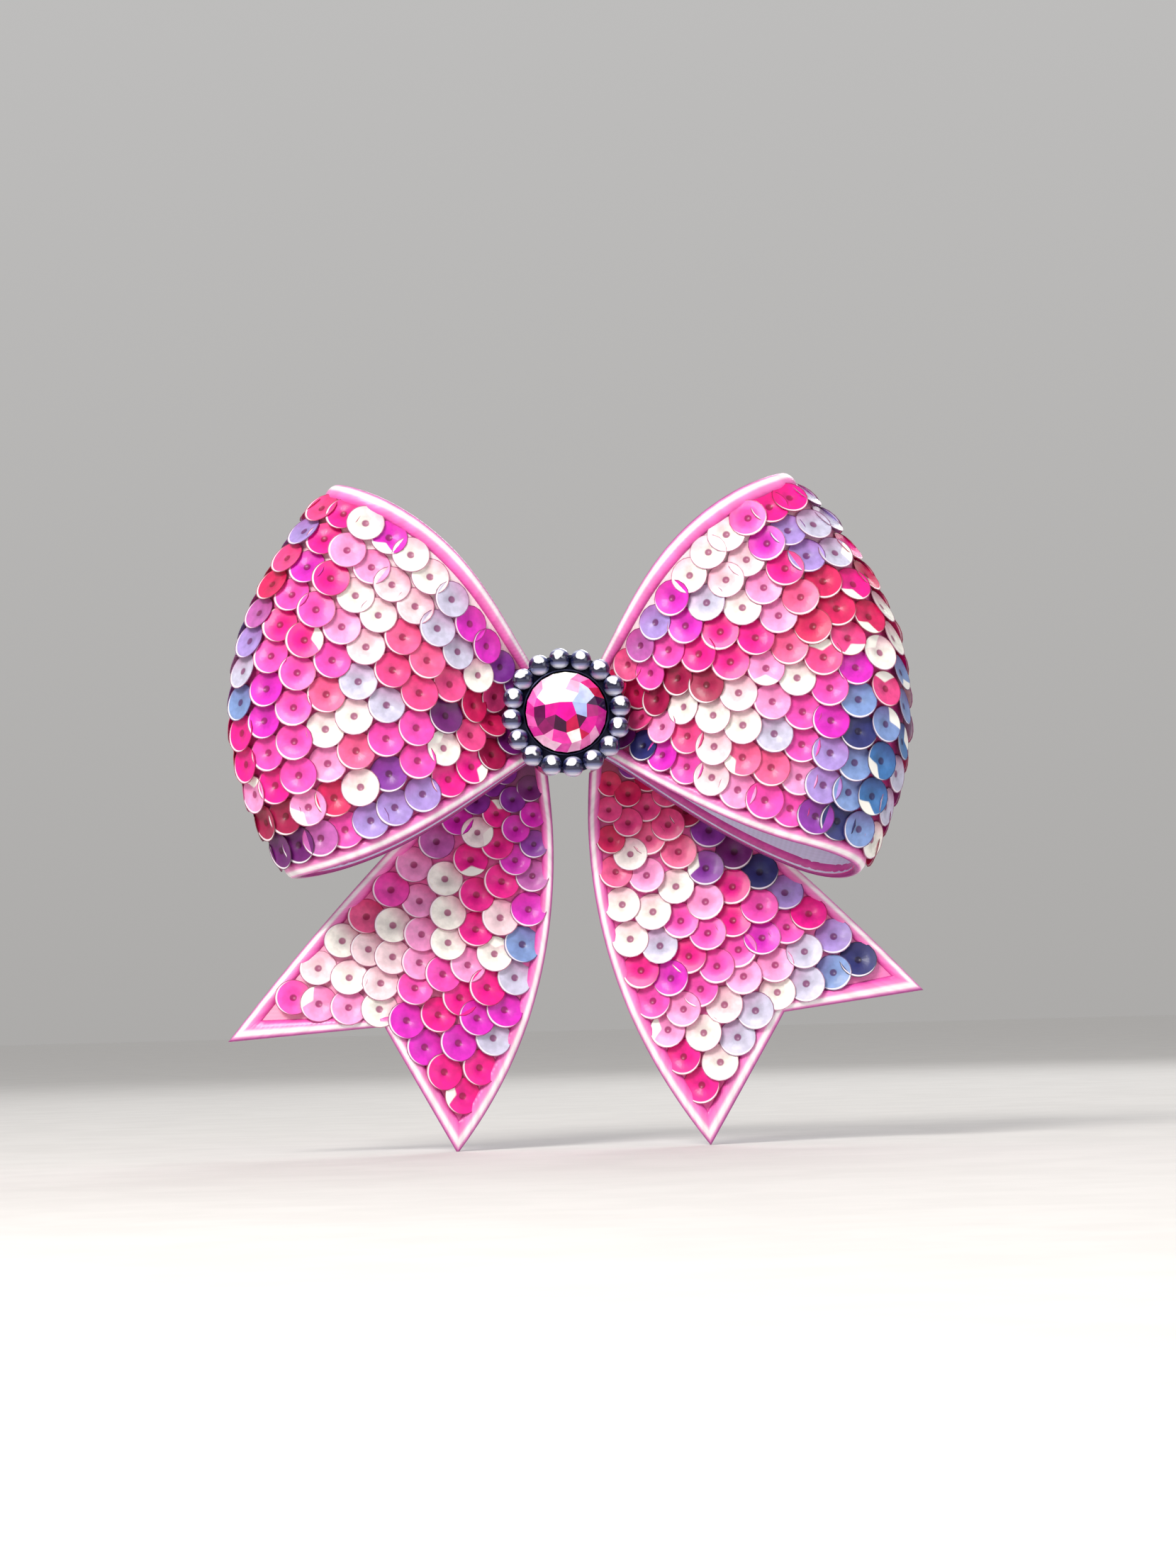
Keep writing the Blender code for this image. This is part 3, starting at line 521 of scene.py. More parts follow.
def pick(*objects):
    """Selects only these, with the last one active."""
    bpy.ops.object.select_all(action="DESELECT")
    for piece in objects:
        piece.select_set(True)
    bpy.context.view_layer.objects.active = objects[-1]


def new_piece(name, data):
    """An object with this data, in the scene."""
    made = bpy.data.objects.new(name, data)
    bpy.context.scene.collection.objects.link(made)
    return made


def choose_faces(piece, wanted):
    """Goes into edit mode with only the faces that pass this test selected."""
    leave_edit()
    mesh = piece.data
    for part in (*mesh.vertices, *mesh.edges, *mesh.polygons):
        part.select = False
    for face in mesh.polygons:
        face.select = wanted(face)
    bpy.ops.object.mode_set(mode="EDIT")
    bpy.ops.mesh.select_mode(type="FACE")


def leave_edit():
    bpy.ops.object.mode_set(mode="OBJECT")


def join(pieces, name):
    pick(*pieces)
    bpy.ops.object.join()
    joined = bpy.context.object
    joined.name = name
    return joined


def edit_all(piece):
    """Goes into edit mode with all of a piece selected."""
    pick(piece)
    bpy.ops.object.mode_set(mode="EDIT")
    bpy.ops.mesh.select_all(action="SELECT")


def apply_all(piece):
    pick(piece)
    for modifier in list(piece.modifiers):
        bpy.ops.object.modifier_apply(modifier=modifier.name)


def smooth(piece, below=40):
    pick(piece)
    bpy.ops.object.shade_smooth_by_angle(angle=math.radians(below))


def dress(piece, finishes, body=None, instead_of=()):
    """Gives a piece its finishes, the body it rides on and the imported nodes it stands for."""
    piece.data.materials.clear()
    for finish in finishes:
        piece.data.materials.append(finish)
    if instead_of:
        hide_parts(*instead_of)
    if body:
        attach(piece, body)
    return piece


def lay_map(mesh, name, place_of):
    """Gives a mesh's corners the places that this function finds for their vertices."""
    layer = mesh.uv_layers.get(name) or mesh.uv_layers.new(name=name)
    for loop in mesh.loops:
        layer.data[loop.index].uv = place_of(mesh.vertices[loop.vertex_index])


def grid_mesh(name, rows, weave, around=False, tints=()):
    """A mesh through rows of points. weave gives each point its place on the flat cloth, in millimetres."""
    count = len(rows[0])
    faces = []
    for r in range(len(rows) - 1):
        for i in range(count if around else count - 1):
            j = (i + 1) % count
            faces.append((r * count + i, r * count + j, (r + 1) * count + j, (r + 1) * count + i))
    mesh = bpy.data.meshes.new(name)
    mesh.from_pydata([point for row in rows for point in row], [], faces)
    flat = [place for row in weave for place in row]
    lay_map(mesh, "weave", lambda vertex: flat[vertex.index])
    if tints:
        shades = [channel for row in tints for tint in row for channel in tint]
        mesh.attributes.new("tint", "FLOAT_COLOR", "POINT").data.foreach_set("color", shades)
    return new_piece(name, mesh)


def thicken(piece, thick, inner=0):
    """Grows a cloth's wall inwards. inner is how many slots further the inside's finish is."""
    wall = piece.modifiers.new("wall", "SOLIDIFY")
    wall.thickness = thick
    wall.offset = -1.0
    wall.material_offset = inner
    apply_all(piece)
    smooth(piece, 50)


# Kinds of cloth: the finishes, the slot, the thickness, and the height of the front.
RIBBON = [SATIN, LINING], "satin_ribbon", RIBBON_THICK, 0.0
GROUND = [NET], "sequins", NET_THICK, NET_LIFT + NET_THICK


def lay_cloth(side, kind, name, packed_name, surface, flat, lines, tints=()):
    """A side's cloth with its front outwards and its wall grown inwards. Each line is a place along the surface
    and the places across it there."""
    finishes, slot_name, thick, height = kind
    rows = facing_out(side, [[lifted(surface, side, a, b, height) for b in line] for a, line in lines])
    weave = facing_out(side, [[(a * flat[0], b * flat[1]) for b in line] for a, line in lines])
    cloth = grid_mesh(f"{side}_{name}", rows, weave, tints=facing_out(side, tints))
    dress(cloth, finishes, instead_of=[f"{side}_{packed_name}"])
    thicken(cloth, thick, inner=len(finishes) - 1)
    return cloth


def lerp_colour(first, second, share):
    return tuple(a + (b - a) * share for a, b in zip(first, second))


# -------- sequins

# The colours the sequins come in, as letters for the sewing charts.
THREADS = {
    letter: colour(text)
    for letter, text in {
        "H": "F60A94", "M": "E022C4", "P": "FB4DBB", "L": "FFA0D8", "C": "F8639A", "O": "F2478F",
        "R": "DE1C62", "K": "A8124C", "W": "FFFCF2", "B": "FADDE3", "G": "CECBE3", "A": "AE92DB",
        "V": "8C34A6", "D": "6E1670", "Q": "C462B4", "S": "7F9BD2", "T": "3F79B9", "N": "2A2F70",
    }.items()
}

# Sewing charts, one string for each row from the knot outwards. On a loop a string runs from the top edge
# down, and on a tail from the inner edge out. A small letter is a sequin given a painted flash of the lamp.
# The dark letters in the first rows, by the knot, partly stand for painted shade in the creases there.
LOOP_CHARTS = {
    "left": [
        "DD", "VRD", "VORK", "MwROh", "MGODwH", "GGCOPPA", "WBCOGPVA", "WBWBGWCWA", "mLWLPCWLRP",
        "WLHPhPPPPlQ", "HHMPHPMMPHKD", "OAORQAGSHHlKD", "OARQSGAHRLKD",
    ],
    "right": [
        "DD", "RRD", "CRON", "QPKLM", "APKWOP", "MMHKWBB", "WGHHBWcL", "WBWHlLGCP", "WBLLCWPPLP",
        "PMHCRoPMAAV", "HAARRoMSNSSN", "HGghrwosttSgS", "GGHRWWsStGGW",
    ],
}
TAIL_CHARTS = {
    "left": ["DV", "MVV", "VMhV", "QMHwM", "MHhQ", "SBHWL", "GwHWLP", "MHLWLWC", "GMHPLBBW", "HMHPBWB", "hHMMWLlP"],
    "right": ["RV", "CRR", "ROOC", "CWCOK", "WLCV", "WWWvD", "HGPLHN", "PMHPHPA", "lLPPPMPH", "HWBLLGA", "HWGGWGSN"],
}
UNSEEN = "HHMPPLCOORWBGAVQ"  # what the rows behind are drawn from

# In millimetres: the gap between rows and a sequin's size, as what they are at the knot and what they grow by.
LOOP_GAP, LOOP_SIZE = (4.6, 1.7), (5.2, 2.4)
TAIL_GAP, TAIL_SIZE = (4.8, 1.4), (5.4, 2.2)
# How a sequin lies, in degrees.
TILT, WOBBLE, SPIN = 11.0, 0.8, 24
JOG, RAISED, CLEAR = 0.18, 0.30 * MM, 0.70 * MM
CROWDED = 0.64  # of its size: nearer than this to another, it is left out


def grown(pair, share):
    return (pair[0] + pair[1] * smooth_rise(share)) * MM


def give(most):
    return chance.uniform(-most, most)


def even_places(surface, side, across, start, end, spacing):
    """Places from start to end along the cloth, evenly apart by this spacing, which may change on the way."""
    steps = 400
    stations = spread(start, end, steps + 1)
    points = [surface(side, a, across) for a in stations]
    covered = [0.0]
    for a, p, q in zip(stations[1:], points, points[1:]):
        covered.append(covered[-1] + (q - p).length / spacing(a))
    count = max(1, round(covered[-1]))
    wanted = [covered[-1] * n / count for n in range(count + 1)]
    return [stations[min(range(steps + 1), key=lambda k: abs(covered[k] - want))] for want in wanted]


def row_places(surface, side, a, low, high, pitch, odd):
    """Places across the cloth, from a low margin to a high one, about a pitch apart. Odd rows take an odd count."""
    steps = 60
    points = [surface(side, a, k / steps) for k in range(steps + 1)]
    run = [0.0]
    for p, q in zip(points, points[1:]):
        run.append(run[-1] + (q - p).length)
    room = run[-1] - low - high
    count = max(1, round(room / pitch) + 1)
    if room < 0.3 * pitch:
        count = 1
    elif count % 2 != odd:
        count += 1 if room / pitch > count - 1 else -1
    places = []
    for want in spread(low, low + room, count) if count > 1 else [low + room / 2]:
        k = max(j for j in range(steps) if run[j] <= want)
        places.append((k + (want - run[k]) / (run[k + 1] - run[k])) / steps)
    return places


def model_sequin():
    """One sequin of a millimetre's radius: a punched disc, pressed into a cup, with its hole pricked."""
    bpy.ops.mesh.primitive_cylinder_add(vertices=16, radius=1 * MM, depth=0.035 * MM)
    cup = bpy.context.object
    cup.name = "sequin_model"
    # The rim, the cup's slope and the hole's wall, each as how far in and how far up, in millimetres.
    pressed = {1: [(0.30, -0.028), (0.50, -0.05), (0.03, -0.03)], -1: [(0.30, 0.028), (0.45, 0.055)]}
    for way, insets in pressed.items():
        choose_faces(cup, lambda face: face.normal.z * way > 0.9 and face.area > 2 * MM * MM)
        for inwards, up in insets:
            bpy.ops.mesh.inset(thickness=inwards * MM, depth=up * MM, use_even_offset=True)
        leave_edit()
    mesh = cup.data
    while mesh.uv_layers:
        mesh.uv_layers.remove(mesh.uv_layers[0])
    lay_map(mesh, "face", lambda vertex: (vertex.co.x / (2 * MM) + 0.5, vertex.co.y / (2 * MM) + 0.5))
    smooth(cup, 50)
    return cup


def sew_sequins(name, model, surface, side, places, charts, in_columns, body=None):
    """Sews a sequin at each (row, number, a, b, diameter), by its letter in the chart, and joins them. A loop's
    rows are columns, which hang across its band."""
    sewn, centres = [], []
    for row, number, a, b, size in places:
        along, across, out = slopes(surface, side, a, b)
        up = across if in_columns else -along
        up = (up - out * up.dot(out)).normalized()
        sideways = up.cross(out)
        if row < len(charts):
            letter = charts[row][min(number, len(charts[row]) - 1)]
        else:
            letter = chance.choice(UNSEEN)
        tilt = math.radians(TILT + give(WOBBLE))
        lean = Matrix.Rotation(math.radians(give(WOBBLE)), 3, up)
        spin = Matrix.Rotation(math.radians(give(SPIN)), 3, out)
        turn = spin @ (lean @ Matrix.Rotation(-tilt, 3, sideways))
        axes = turn @ Matrix((sideways, up, out)).transposed()
        radius = size / 2 * chance.uniform(1.05, 1.10)
        jog = (sideways * give(JOG) + up * give(JOG)) * MM
        # Every second one lies on its neighbours' threads, so that their lips pass.
        raised = RAISED * ((row if in_columns else number) % 2)
        centre = surface(side, a, b) + jog + out * (NET_LIFT + CLEAR + radius * 0.10 + raised)
        if any((centre - other).length < CROWDED * size for other in centres):
            continue  # no room for one here, where the rows run together
        centres.append(centre)
        # A small letter gets a painted flash, at a random heading.
        heading = chance.uniform(0, math.tau)
        flash = float(letter.islower())
        ray = (math.cos(heading) * flash, math.sin(heading) * flash, 0.0)
        # Painted shade in the creases at the knot: the smaller sequins there are darkened towards crimson.
        fold_shade = 1 - smooth_rise((size - 5.0 * MM) / (2.4 * MM))  # in the folds at the knot
        red, green, blue, _ = THREADS[letter.upper()]
        tint = (red, green * (1 - 0.45 * fold_shade), blue * (1 - 0.08 * fold_shade), 1.0)
        sequin = new_piece(f"{name}_one", model.data.copy())
        sequin.data.transform(Matrix.Translation(centre) @ (axes * (radius / MM)).to_4x4())
        count = len(sequin.data.vertices)
        sequin.data.attributes.new("tint", "FLOAT_COLOR", "POINT").data.foreach_set("color", tint * count)
        sequin.data.attributes.new("glare", "FLOAT_VECTOR", "POINT").data.foreach_set("vector", ray * count)
        sewn.append(sequin)
    return dress(join(sewn, name), [SEQUIN], body)


def loop_sequins(side, model):
    """Columns of sequins from the knot out, over the fold and down the back."""
    places = []
    columns = even_places(loop_point, side, 0.5, 0.10, 0.80, lambda t: grown(LOOP_GAP, loop_profile(t)[0] / 0.6))
    for column, t in enumerate(columns):
        reach = loop_profile(t)[0]
        size = grown(LOOP_SIZE, reach / 0.65)
        low = TRIM_WIDE + 0.45 * size
        high = low + 1.6 * MM * smooth_rise(reach / 0.3) * (1 - smooth_rise((reach - 0.6) / 0.3))
        across = row_places(loop_point, side, t, low, high, size * 0.91, column % 2)
        for number, s in enumerate(reversed(across)):
            places.append((column, number, t, s, size))
    return sew_sequins(f"{side}_loop_sequins", model, loop_point, side, places, LOOP_CHARTS[side], True, "bow")


def tail_sequins(side, model):
    """Rows of sequins from the knot down, the last ones drawn up a little towards the tips."""
    places = []
    rows = even_places(tail_point, side, 0.45, 0.11, 0.935, lambda l: grown(TAIL_GAP, (l - 0.1) / 0.35))
    for row, l in enumerate(rows):
        size = grown(TAIL_SIZE, (l - 0.12) / 0.35)
        margin = TRIM_WIDE + 0.45 * size
        for number, w in enumerate(row_places(tail_point, side, l, margin, margin, size * 0.9, row % 2)):
            towards_tip = abs(w - NOTCH_SHARE) / (1 - NOTCH_SHARE)
            up_a_bit = 0.05 * smooth_rise((l - 0.55) / 0.4) * towards_tip**2
            places.append((row, number, l - up_a_bit, w, size))
    return sew_sequins(f"{side}_tail_sequins", model, tail_point, side, places, TAIL_CHARTS[side], False)


# -------- loops

ROSE, KNOT_SHADE_ROSE, TOP_HIGHLIGHT, PLUM = (colour(text) for text in ("D63A8C", "7E0B3C", "FFE3EA", "5B1450"))


def loop_ground(reach, s, front):
    """The ground cloth's colour: rose, with painted shade, dark rose, in the creases at the knot, a painted highlight,
    nearly white, along the top of the front, and plum towards the bottom outer corner.
    """
    # Painted shade in the creases at the knot.
    tint = lerp_colour(ROSE, KNOT_SHADE_ROSE, 0.95 * (1 - smooth_rise(reach / 0.62)))
    # Painted highlight along the top, on the front only.
    lit = smooth_rise((s - 0.66) / 0.2) * smooth_rise((reach - 0.22) / 0.25) * front
    tint = lerp_colour(tint, TOP_HIGHLIGHT, 0.95 * lit)
    corner = smooth_rise((reach - 0.7) / 0.25) * (1 - smooth_rise(s / 0.16))
    return lerp_colour(tint, PLUM, 0.6 * corner)


def build_loop(side, sequin_model):
    lines = [(t, spread(0.0, 1.0, 33)) for t in spread(0.0, 1.0, 97)]
    ribbon = lay_cloth(side, RIBBON, "loop_ribbon_cloth", "loop_ribbon", loop_point, LOOP_FLAT, lines)
    sewn, tints = [], []
    for t, _ in lines:
        if TRIM_FROM <= t <= SEQUINS_TO:
            reach, swing = loop_profile(t)
            share = (TRIM_WIDE - TRIM_LAP) / width_at(loop_point, side, t)
            sewn.append((t, spread(share, 1 - share, 33)))
            tints.append([loop_ground(reach, s, max(swing, 0.0)) for s in sewn[-1][1]])
    net = lay_cloth(side, GROUND, "loop_sequin_ground", "loop_sequin_sheet", loop_point, LOOP_FLAT, sewn, tints)
    sequins = loop_sequins(side, sequin_model)

    trims = [loop_binding(side, place) for place in ("top", "bottom")]
    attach(ribbon, "bow")
    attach(net, "bow")


def rolled_trim(name, stations):
    """A rolled binding along a cut edge. Each station is the roll's outer and inner edge, the cloth's normal and
    how far along the binding it is, in millimetres."""
    rows, weave = [], []
    angles = [math.tau * i / ROLL_STEPS for i in range(ROLL_STEPS)]
    for edge, inside, normal, run in stations:
        # From the back, round the outer edge, over the front and in to the sequins.
        inwards = [(inside - edge) * (ROLL_MIDDLE - ROLL_HALF * math.sin(angle)) for angle in angles]
        upwards = [normal * (ROLL_LIFT - ROLL_HIGH * math.cos(angle)) for angle in angles]
        rows.append([edge + a + b for a, b in zip(inwards, upwards)])
        weave.append([(run, i / ROLL_STEPS) for i in range(ROLL_STEPS)])
    made = grid_mesh(name, rows, weave, around=True)
    fix_seam(made)
    pick(made)
    bpy.ops.object.mode_set(mode="EDIT")
    bpy.ops.mesh.select_all(action="DESELECT")
    bpy.ops.mesh.select_mode(type="EDGE")
    bpy.ops.mesh.select_non_manifold(extend=False)
    bpy.ops.mesh.edge_face_add()
    bpy.ops.mesh.select_all(action="SELECT")
    bpy.ops.mesh.normals_make_consistent(inside=False)
    leave_edit()
    smooth(made, 60)
    return made


def fix_seam(piece):
    """Where a ring closes, the weave's place runs on to 1 instead of back to 0."""
    layer = piece.data.uv_layers["weave"]
    for face in piece.data.polygons:
        places = [layer.data[i] for i in face.loop_indices]
        if any(place.uv[1] > (ROLL_STEPS - 1.5) / ROLL_STEPS for place in places):
            for place in places:
                if place.uv[1] < 0.5 / ROLL_STEPS:
                    place.uv = (place.uv[0], 1.0)


def loop_binding(side, place):
    stations = []
    for t in spread(TRIM_FROM, TRIM_TO, 100):
        share = min(TRIM_WIDE / width_at(loop_point, side, t), 0.3)
        edge, inside = (1.0, 1.0 - share) if place == "top" else (0.0, share)
        normal = slopes(loop_point, side, t, edge)[2]
        stations.append((loop_point(side, t, edge), loop_point(side, t, inside), normal, t * LOOP_FLAT[0]))
    trim = rolled_trim(f"{side}_loop_{place}_piping", stations)
    return dress(trim, [PIPING], "bow", [f"{side}_loop_{place}_binding"])


# -------- tails

# The ground cloth's colour at the knot, in the middle and at the outer tip. The dark one at the knot is painted
# shade under the loops.
TAIL_GROUNDS = {
    "left": ("5A1050", "F25CAE", "FFB9D0"),
    "right": ("8A0F42", "F25CAE", "F98FC8"),
}


def tail_border(side, border, stations):
    """Pairs of (l, w), on a tail's outline and a border's width inside it, down, along the notch and up."""
    length = (tail_point(side, 1, 0) - tail_point(side, 0, 0)).length
    last = 1 - 1.35 * border / length
    inner_edge = []
    for l in stations:
        share = min(1.1 * border / width_at(tail_point, side, l), 0.3)
        inner_edge.append(((l, 0.0), (l * last, share)))
    share = inner_edge[-1][1][1]
    cut = spread(0.0, NOTCH_SHARE, 12)[1:-1] + spread(NOTCH_SHARE, 1.0, 14)[:-1]
    notch = [((1.0, w), (last, share + (1 - 2 * share) * w)) for w in cut]
    outer_edge = [((l, 1.0), (near, 1 - inset)) for (l, _), (near, inset) in reversed(inner_edge)]
    return inner_edge + notch + outer_edge


def build_tail(side, sequin_model):
    across = spread(0, NOTCH_SHARE, 13)[:-1] + spread(NOTCH_SHARE, 1, 15)
    lines = [(l, across) for l in spread(0.0, 1.0, 61)]
    ribbon = lay_cloth(side, RIBBON, "tail_ribbon_cloth", "tail_ribbon", tail_point, TAIL_FLAT, lines)
    dark, mid, pale = (colour(text) for text in TAIL_GROUNDS[side])
    lines, tints = [], []
    for l in spread(0.04, 0.972, 56):
        share = min(2.0 * MM / width_at(tail_point, side, l), 0.3)
        across = spread(share, NOTCH_SHARE, 13)[:-1] + spread(NOTCH_SHARE, 1 - share, 15)
        lines.append((l, across))
        # Painted shade at the knot, fading down the tail; then paler lower down, towards the outer side.
        shade = lerp_colour(dark, mid, smooth_rise(l / 0.45))
        tints.append([lerp_colour(shade, pale, 0.8 * smooth_rise((l - 0.45) / 0.4) * w) for w in across])
    net = lay_cloth(side, GROUND, "tail_sequin_ground", "tail_sequin_sheet", tail_point, TAIL_FLAT, lines, tints)
    sequins = tail_sequins(side, sequin_model)

    border, run = [], 0.0
    for outline, inset in tail_border(side, TRIM_WIDE, spread(0.05, 1.0, 60)):
        edge = tail_point(side, *outline)
        run += (edge - border[-1][0]).length / MM if border else 0.0
        border.append((edge, tail_point(side, *inset), slopes(tail_point, side, *inset)[2], run))
    trim = rolled_trim(f"{side}_tail_piping", border)
    dress(trim, [PIPING], instead_of=[f"{side}_tail_binding"])

    for piece in (ribbon, net, sequins, trim):
        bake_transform(piece)


# -------- knot and jewel


def rounded_ring(front, back, bottom, top, steps):
    """Points (y, z) round a box with rounded corners, as a superellipse."""
    power = 2 / 3.2
    points = []
    for i in range(steps):
        angle = math.tau * (i + 0.5) / steps
        c, s = math.cos(angle), math.sin(angle)
        y = (front + back) / 2 + (back - front) / 2 * math.copysign(abs(c) ** power, c)
        z = (bottom + top) / 2 + (top - bottom) / 2 * math.copysign(abs(s) ** power, s)
        points.append(Vector((y, z)))
    return points


def build_knot():
    """The wrap over the knot, drawn tight, so that it lies in four soft pleats."""
    steps = 72
    ring = rounded_ring(KNOT_FRONT, KNOT_BACK, KNOT_BOTTOM, KNOT_TOP, steps)
    middle = Vector(((KNOT_FRONT + KNOT_BACK) / 2, (KNOT_BOTTOM + KNOT_TOP) / 2))
    rows, weave = [], []
    for share in spread(-1.0, 1.0, 25):
        x = share * KNOT_HALF_WIDE
        pleat = 1 - 0.030 * (0.5 + 0.5 * math.cos(math.tau * 2.0 * share)) - 0.045 * abs(share) ** 3
        rows.append([Vector((x, *middle.lerp(place, pleat))) for place in ring])
        weave.append([(i / steps * 66.0, x / MM) for i in range(steps)])
    wrap = grid_mesh("knot_wrap_cloth", rows, weave, around=True)
    dress(wrap, [SATIN], instead_of=["knot_wrap"])
    thicken(wrap, RIBBON_THICK)
    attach(wrap, "bow")


# The stone's facets in rows outwards from its table: how far out each row is, and its colours, clockwise from the top.
# Besides the glass's pink, the colours are painted reflections: white, pale blue, plum and crimson.
FACET_ROWS = [
    (0.0, ["E8149A"]),
    (3.3 * MM, [
        "FFFBF3", "BFD0F6", "A9B8EC", "4A0F38", "C0124A", "E41C94", "3E0E34", "7A1458", "D81E94", "FFF8F2",
    ]),
    (5.7 * MM, [
        "FFFDF8", "F9B8DC", "C8D2F8", "3A1040", "B01878", "E0209A", "D01850", "FFF4F4", "F23CAC", "F590C8",
        "8A1660", "5A1048", "E040A8", "FFF6F2", "FFFDF8",
    ]),
    (7.7 * MM, [
        "FFFDF8", "F68CC8", "E8308C", "C21A4A", "2B1038", "C81E90", "D42C9C", "F5A8D4", "F070B8", "F9B2DA",
        "EE50B4", "F9C8E4", "F9B8DC", "D8309C", "F062B8", "E02C9A", "F068BC", "F9A0D0", "FFE0F0", "FFFDF8",
    ]),
]


def facet_colour(x, z):
    """The colour of the facet whose middle is here, painted reflections included."""
    row = min(FACET_ROWS, key=lambda facets: abs(facets[0] - math.hypot(x, z)))[1]
    return colour(row[round(math.atan2(x, z) / math.tau * len(row)) % len(row)])


def build_gem():
    """A round stone cut with a five-sided table: rings of corners, wrapped by their hull."""
    # Each ring's share of the stone's radius, how far it lies behind the girdle, its corners and their turn.
    rings = [
        (0.27, -3.95, 5, 0.5), (0.54, -3.42, 10, 0.0), (0.80, -2.2, 20, 0.5), (1.0, -0.25, 20, 0.0),
        (1.0, 0.25, 20, 0.0), (0.6, 1.4, 10, 0.0), (0.12, 2.0, 5, 0.0),
    ]
    parts = []
    for share, behind, corners, phase in rings:
        place, facing = (0, GEM_Y + behind * MM, 0), (math.radians(90), 0, 0)
        bpy.ops.mesh.primitive_circle_add(vertices=corners, radius=GEM_RADIUS * share, location=place, rotation=facing)
        ring = bpy.context.object
        ring.data.transform(Matrix.Rotation(-math.tau * phase / corners, 4, "Z"))
        bpy.ops.object.transform_apply(location=True, rotation=True, scale=True)
        parts.append(ring)
    gem = join(parts, "cut_stone")
    edit_all(gem)
    bpy.ops.mesh.convex_hull()
    bpy.ops.mesh.normals_make_consistent(inside=False)
    leave_edit()
    # Each facet is painted one colour, most of them painted reflections.
    paints = gem.data.attributes.new("tint", "FLOAT_COLOR", "CORNER")
    for face in gem.data.polygons:
        face.use_smooth = False
        for loop in face.loop_indices:
            paints.data[loop].color = facet_colour(face.center.x, face.center.z)
    dress(gem, [STONE], "bow", ["gem"])


def build_beads():
    """A bead on the wire's line, drilled at both ends, and its copies round the stone."""
    bpy.ops.mesh.primitive_uv_sphere_add(segments=28, ring_count=18, radius=BEAD_RADIUS, calc_uvs=False)
    model = bpy.context.object
    for way in (1, -1):
        choose_faces(model, lambda face: face.center.z * way > BEAD_RADIUS * 0.93)
        bpy.ops.mesh.extrude_region_move(TRANSFORM_OT_translate={"value": (0, 0, -way * 0.5 * MM)})
        bpy.ops.transform.resize(value=(0.8, 0.8, 0.3), center_override=(0, 0, way * BEAD_RADIUS * 0.8))
        leave_edit()
    smooth(model, 45)
    # The painted flash faces this way, towards the front and above, a little differently on each bead.
    lamp = Vector((-0.10, -0.86, 0.48)).normalized()
    for number in range(BEADS):
        angle = BEAD_START + math.tau * number / BEADS
        place = Vector((math.sin(angle) * BEAD_RING, BEAD_Y, math.cos(angle) * BEAD_RING))
        along = Vector((math.cos(angle), 0, -math.sin(angle)))
        bead = new_piece(f"hematite_bead_{number + 1:02d}", model.data.copy())
        bead.data.transform(Matrix.Translation(place) @ along.to_track_quat("Z", "Y").to_matrix().to_4x4())
        light = (lamp + Vector((give(0.12), 0, give(0.08)))).normalized()
        glints = bead.data.attributes.new("glint", "FLOAT_VECTOR", "POINT")
        for corner, store in zip(bead.data.vertices, glints.data):
            way = (corner.co - place).normalized()
            store.vector = (way.z * 0.5 + 0.5, way.dot(light), 0.0)
        dress(bead, [HEMATITE], "bow", [f"halo_bead_{number + 1:02d}"])
    bpy.data.objects.remove(model)


# -------- hard parts carried over


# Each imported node, the piece it becomes, its finish, slot and body, and how wide its broken edges are, in millimetres.
HARD_PARTS = [
    ("jewel_back_plate", "jewel_base_plate", GUNMETAL, "dark_metal", "bow", 0.12),
    ("gem_bezel", "stone_cup", GUNMETAL, "dark_metal", "bow", 0.06),
    ("halo_wire", "beading_wire", GUNMETAL, "dark_metal", "bow", 0.0),
    ("cinch_tie", "knot_tie", NYLON, "nylon_tie", "bow", 0.15),
    ("clip_top_jaw", "clip_upper_blade", NICKEL, "clip_steel", "bow", 0.1),
    ("clip_lower_jaw", "clip_lower_blade", NICKEL, "clip_steel", "clip_lower_jaw", 0.1),
    ("clip_pivot_pin", "clip_rivet", NICKEL, "clip_steel", "bow", 0.12),
    ("clip_grip_pad", "clip_rubber_grip", RUBBER, "grip_rubber", "bow", 0.25),
    ("jewel_felt_pad", "jewel_felt_disc", FELT, "felt", "bow", 0.3),
    ("clip_felt_patch", "clip_felt_backing", FELT, "felt", "bow", 0.2),
    ("clip_lining_ribbon", "clip_ribbon_lining", SATIN, "satin_ribbon", "bow", 0.12),
    ("tail_gather", "tail_gather_folds", SATIN, "satin_ribbon", "bow", 0.0),
]


def copy_node(node_name, name, soften):
    """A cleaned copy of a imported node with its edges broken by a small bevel."""
    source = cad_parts[node_name]
    piece = new_piece(name, source.data.copy())
    piece.data.transform(source.matrix_world)
    edit_all(piece)
    bpy.ops.mesh.remove_doubles(threshold=0.002 * MM)
    bpy.ops.mesh.dissolve_limited(angle_limit=math.radians(1))
    leave_edit()
    if soften:
        bevel = piece.modifiers.new("broken_edges", "BEVEL")
        bevel.width = soften
        bevel.segments = 2
        bevel.angle_limit = math.radians(30)
        apply_all(piece)
    smooth(piece, 35)
    return piece


def build_hard_parts():
    for node_name, name, finish, slot_name, body, soften in HARD_PARTS:
        piece = copy_node(node_name, name, soften * MM)
        dress(piece, [finish], body, [node_name])
        if finish is SATIN:
            lay_map(piece.data, "weave", lambda vertex: (vertex.co.x / MM, (vertex.co.z + vertex.co.y) / MM))


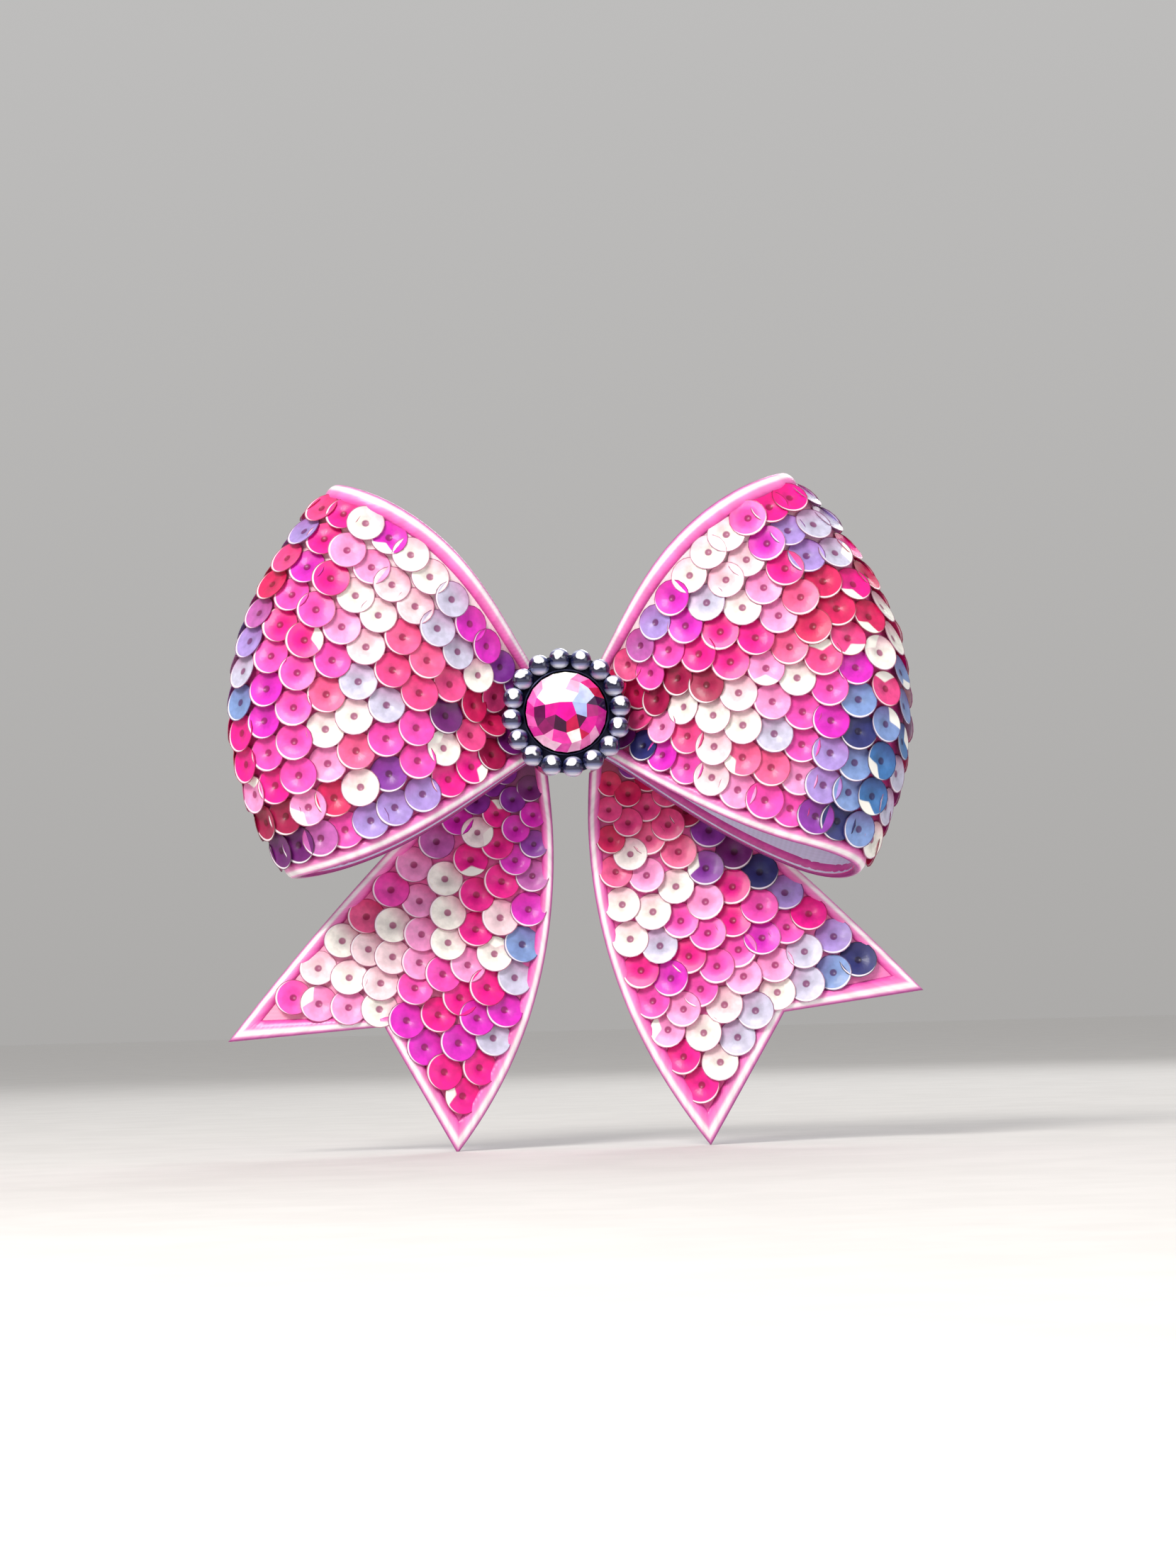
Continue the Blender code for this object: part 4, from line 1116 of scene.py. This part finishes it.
def build_spring():
    """The torsion spring on the rivet, one leg on each blade."""
    pivot = Vector((10.0, -0.8, 0.0)) * MM
    turns, half_long, coil_radius, steps = 5, Vector((0, 0, 2.0 * MM)), 1.5 * MM, 24
    start = math.radians(-100)
    end = start + math.tau * turns + math.radians(190)
    points = [pivot + Vector((9 * MM, -2.4 * MM, 0)) - half_long]
    for angle in spread(start, end, int((end - start) / math.tau * steps)):
        share = (angle - start) / (end - start)
        ring = Vector((math.cos(angle), math.sin(angle), 0)) * coil_radius
        points.append(pivot + ring + half_long * (2 * share - 1))
    points.append(pivot + Vector((9 * MM, 6.0 * MM, 0)) + half_long)
    curve = bpy.data.curves.new("clip_torsion_spring", "CURVE")
    curve.dimensions = "3D"
    curve.bevel_depth = 0.3 * MM
    curve.bevel_resolution = 3
    curve.use_fill_caps = True
    line = curve.splines.new("POLY")
    line.points.add(len(points) - 1)
    for place, point in zip(line.points, points):
        place.co = (*point, 1.0)
    pick(new_piece("clip_torsion_spring", curve))
    bpy.ops.object.convert(target="MESH")
    spring = bpy.context.object
    dress(spring, [NICKEL], instead_of=["clip_spring"])
    smooth(spring, 60)
    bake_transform(spring)


# -------- studio


def build_stage():
    """A wide sheet of pale paper just under the tails' tips."""
    bpy.ops.mesh.primitive_circle_add(
        vertices=96, radius=14.0, fill_type="NGON", location=(0, 0, CAD_BOX[0][2] - 0.6 * MM)
    )
    floor = bpy.context.object
    floor.name = "paper_floor"
    bpy.ops.object.transform_apply(location=True, rotation=True, scale=True)
    floor.data.materials.append(backdrop_paper())


def add_softbox(name, place, towards, size, power, tint):
    data = bpy.data.lights.new(name, "AREA")
    data.shape = "RECTANGLE"
    data.size, data.size_y = size
    data.energy = power
    data.color = colour(tint)[:3]
    lamp = new_piece(name, data)
    lamp.location = place
    lamp.rotation_euler = (Vector(towards) - Vector(place)).to_track_quat("-Z", "Y").to_euler()


def build_light():
    add_softbox("key_softbox", (-0.40, -0.80, 0.62), (0, 0, -0.01), (0.45, 0.35), 10.2, "FFFBF6")
    add_softbox("fill_softbox", (0.75, -0.60, 0.10), (0, 0, -0.02), (0.50, 0.60), 1.6, "F4F6FF")
    add_softbox("back_softbox", (0.25, 0.80, 0.60), (0, 0, 0), (0.50, 0.40), 2.6, "FFFFFF")
    world = bpy.data.worlds.new("studio")
    world.use_nodes = True
    tree = world.node_tree
    ground = tree.nodes["Background"]
    height = node(tree, "SeparateXYZ", {"Vector": node(tree, "TexCoord", {}).outputs["Generated"]}).outputs["Z"]
    tree.links.new(ramp(tree, height, [(0.0, "D9D7D5"), (0.35, "F4F3F2")]), ground.inputs["Color"])
    ground.inputs["Strength"].default_value = 0.60
    bpy.context.scene.world = world
    bpy.context.scene.view_settings.view_transform = "Standard"


def build_camera():
    """A long lens a little below the jewel, tipped so that the bow leans slightly anticlockwise."""
    lens, sensor, frame_high = 85.0, 36.0, 0.330
    stone_left, stone_up = 4.6 * MM, 15.1 * MM  # the stone's place in the frame, from its middle
    distance = frame_high * lens / sensor
    tilt, lean = math.radians(3.7), math.radians(1.5)
    ahead = Vector((0, math.cos(tilt), math.sin(tilt)))
    right = Vector((1, 0, 0))
    above = right.cross(ahead)
    right, above = (
        right * math.cos(lean) - above * math.sin(lean),
        right * math.sin(lean) + above * math.cos(lean),
    )
    place = Vector((0, GEM_Y, 0)) - ahead * distance + right * stone_left - above * stone_up
    data = bpy.data.cameras.new("camera")
    data.lens = lens
    data.sensor_width = sensor
    data.clip_start, data.clip_end = 0.01, 60.0
    camera = new_piece("camera", data)
    camera.matrix_world = Matrix.Translation(place) @ Matrix((right, above, -ahead)).transposed().to_4x4()
    bpy.context.scene.camera = camera


def main():
    build_camera()
    build_light()
    build_stage()
    sequin = model_sequin()
    for side in SIDES:
        build_loop(side, sequin)
        build_tail(side, sequin)
    bpy.data.objects.remove(sequin)
    build_knot()
    build_gem()
    build_beads()
    build_hard_parts()
    build_spring()


main()
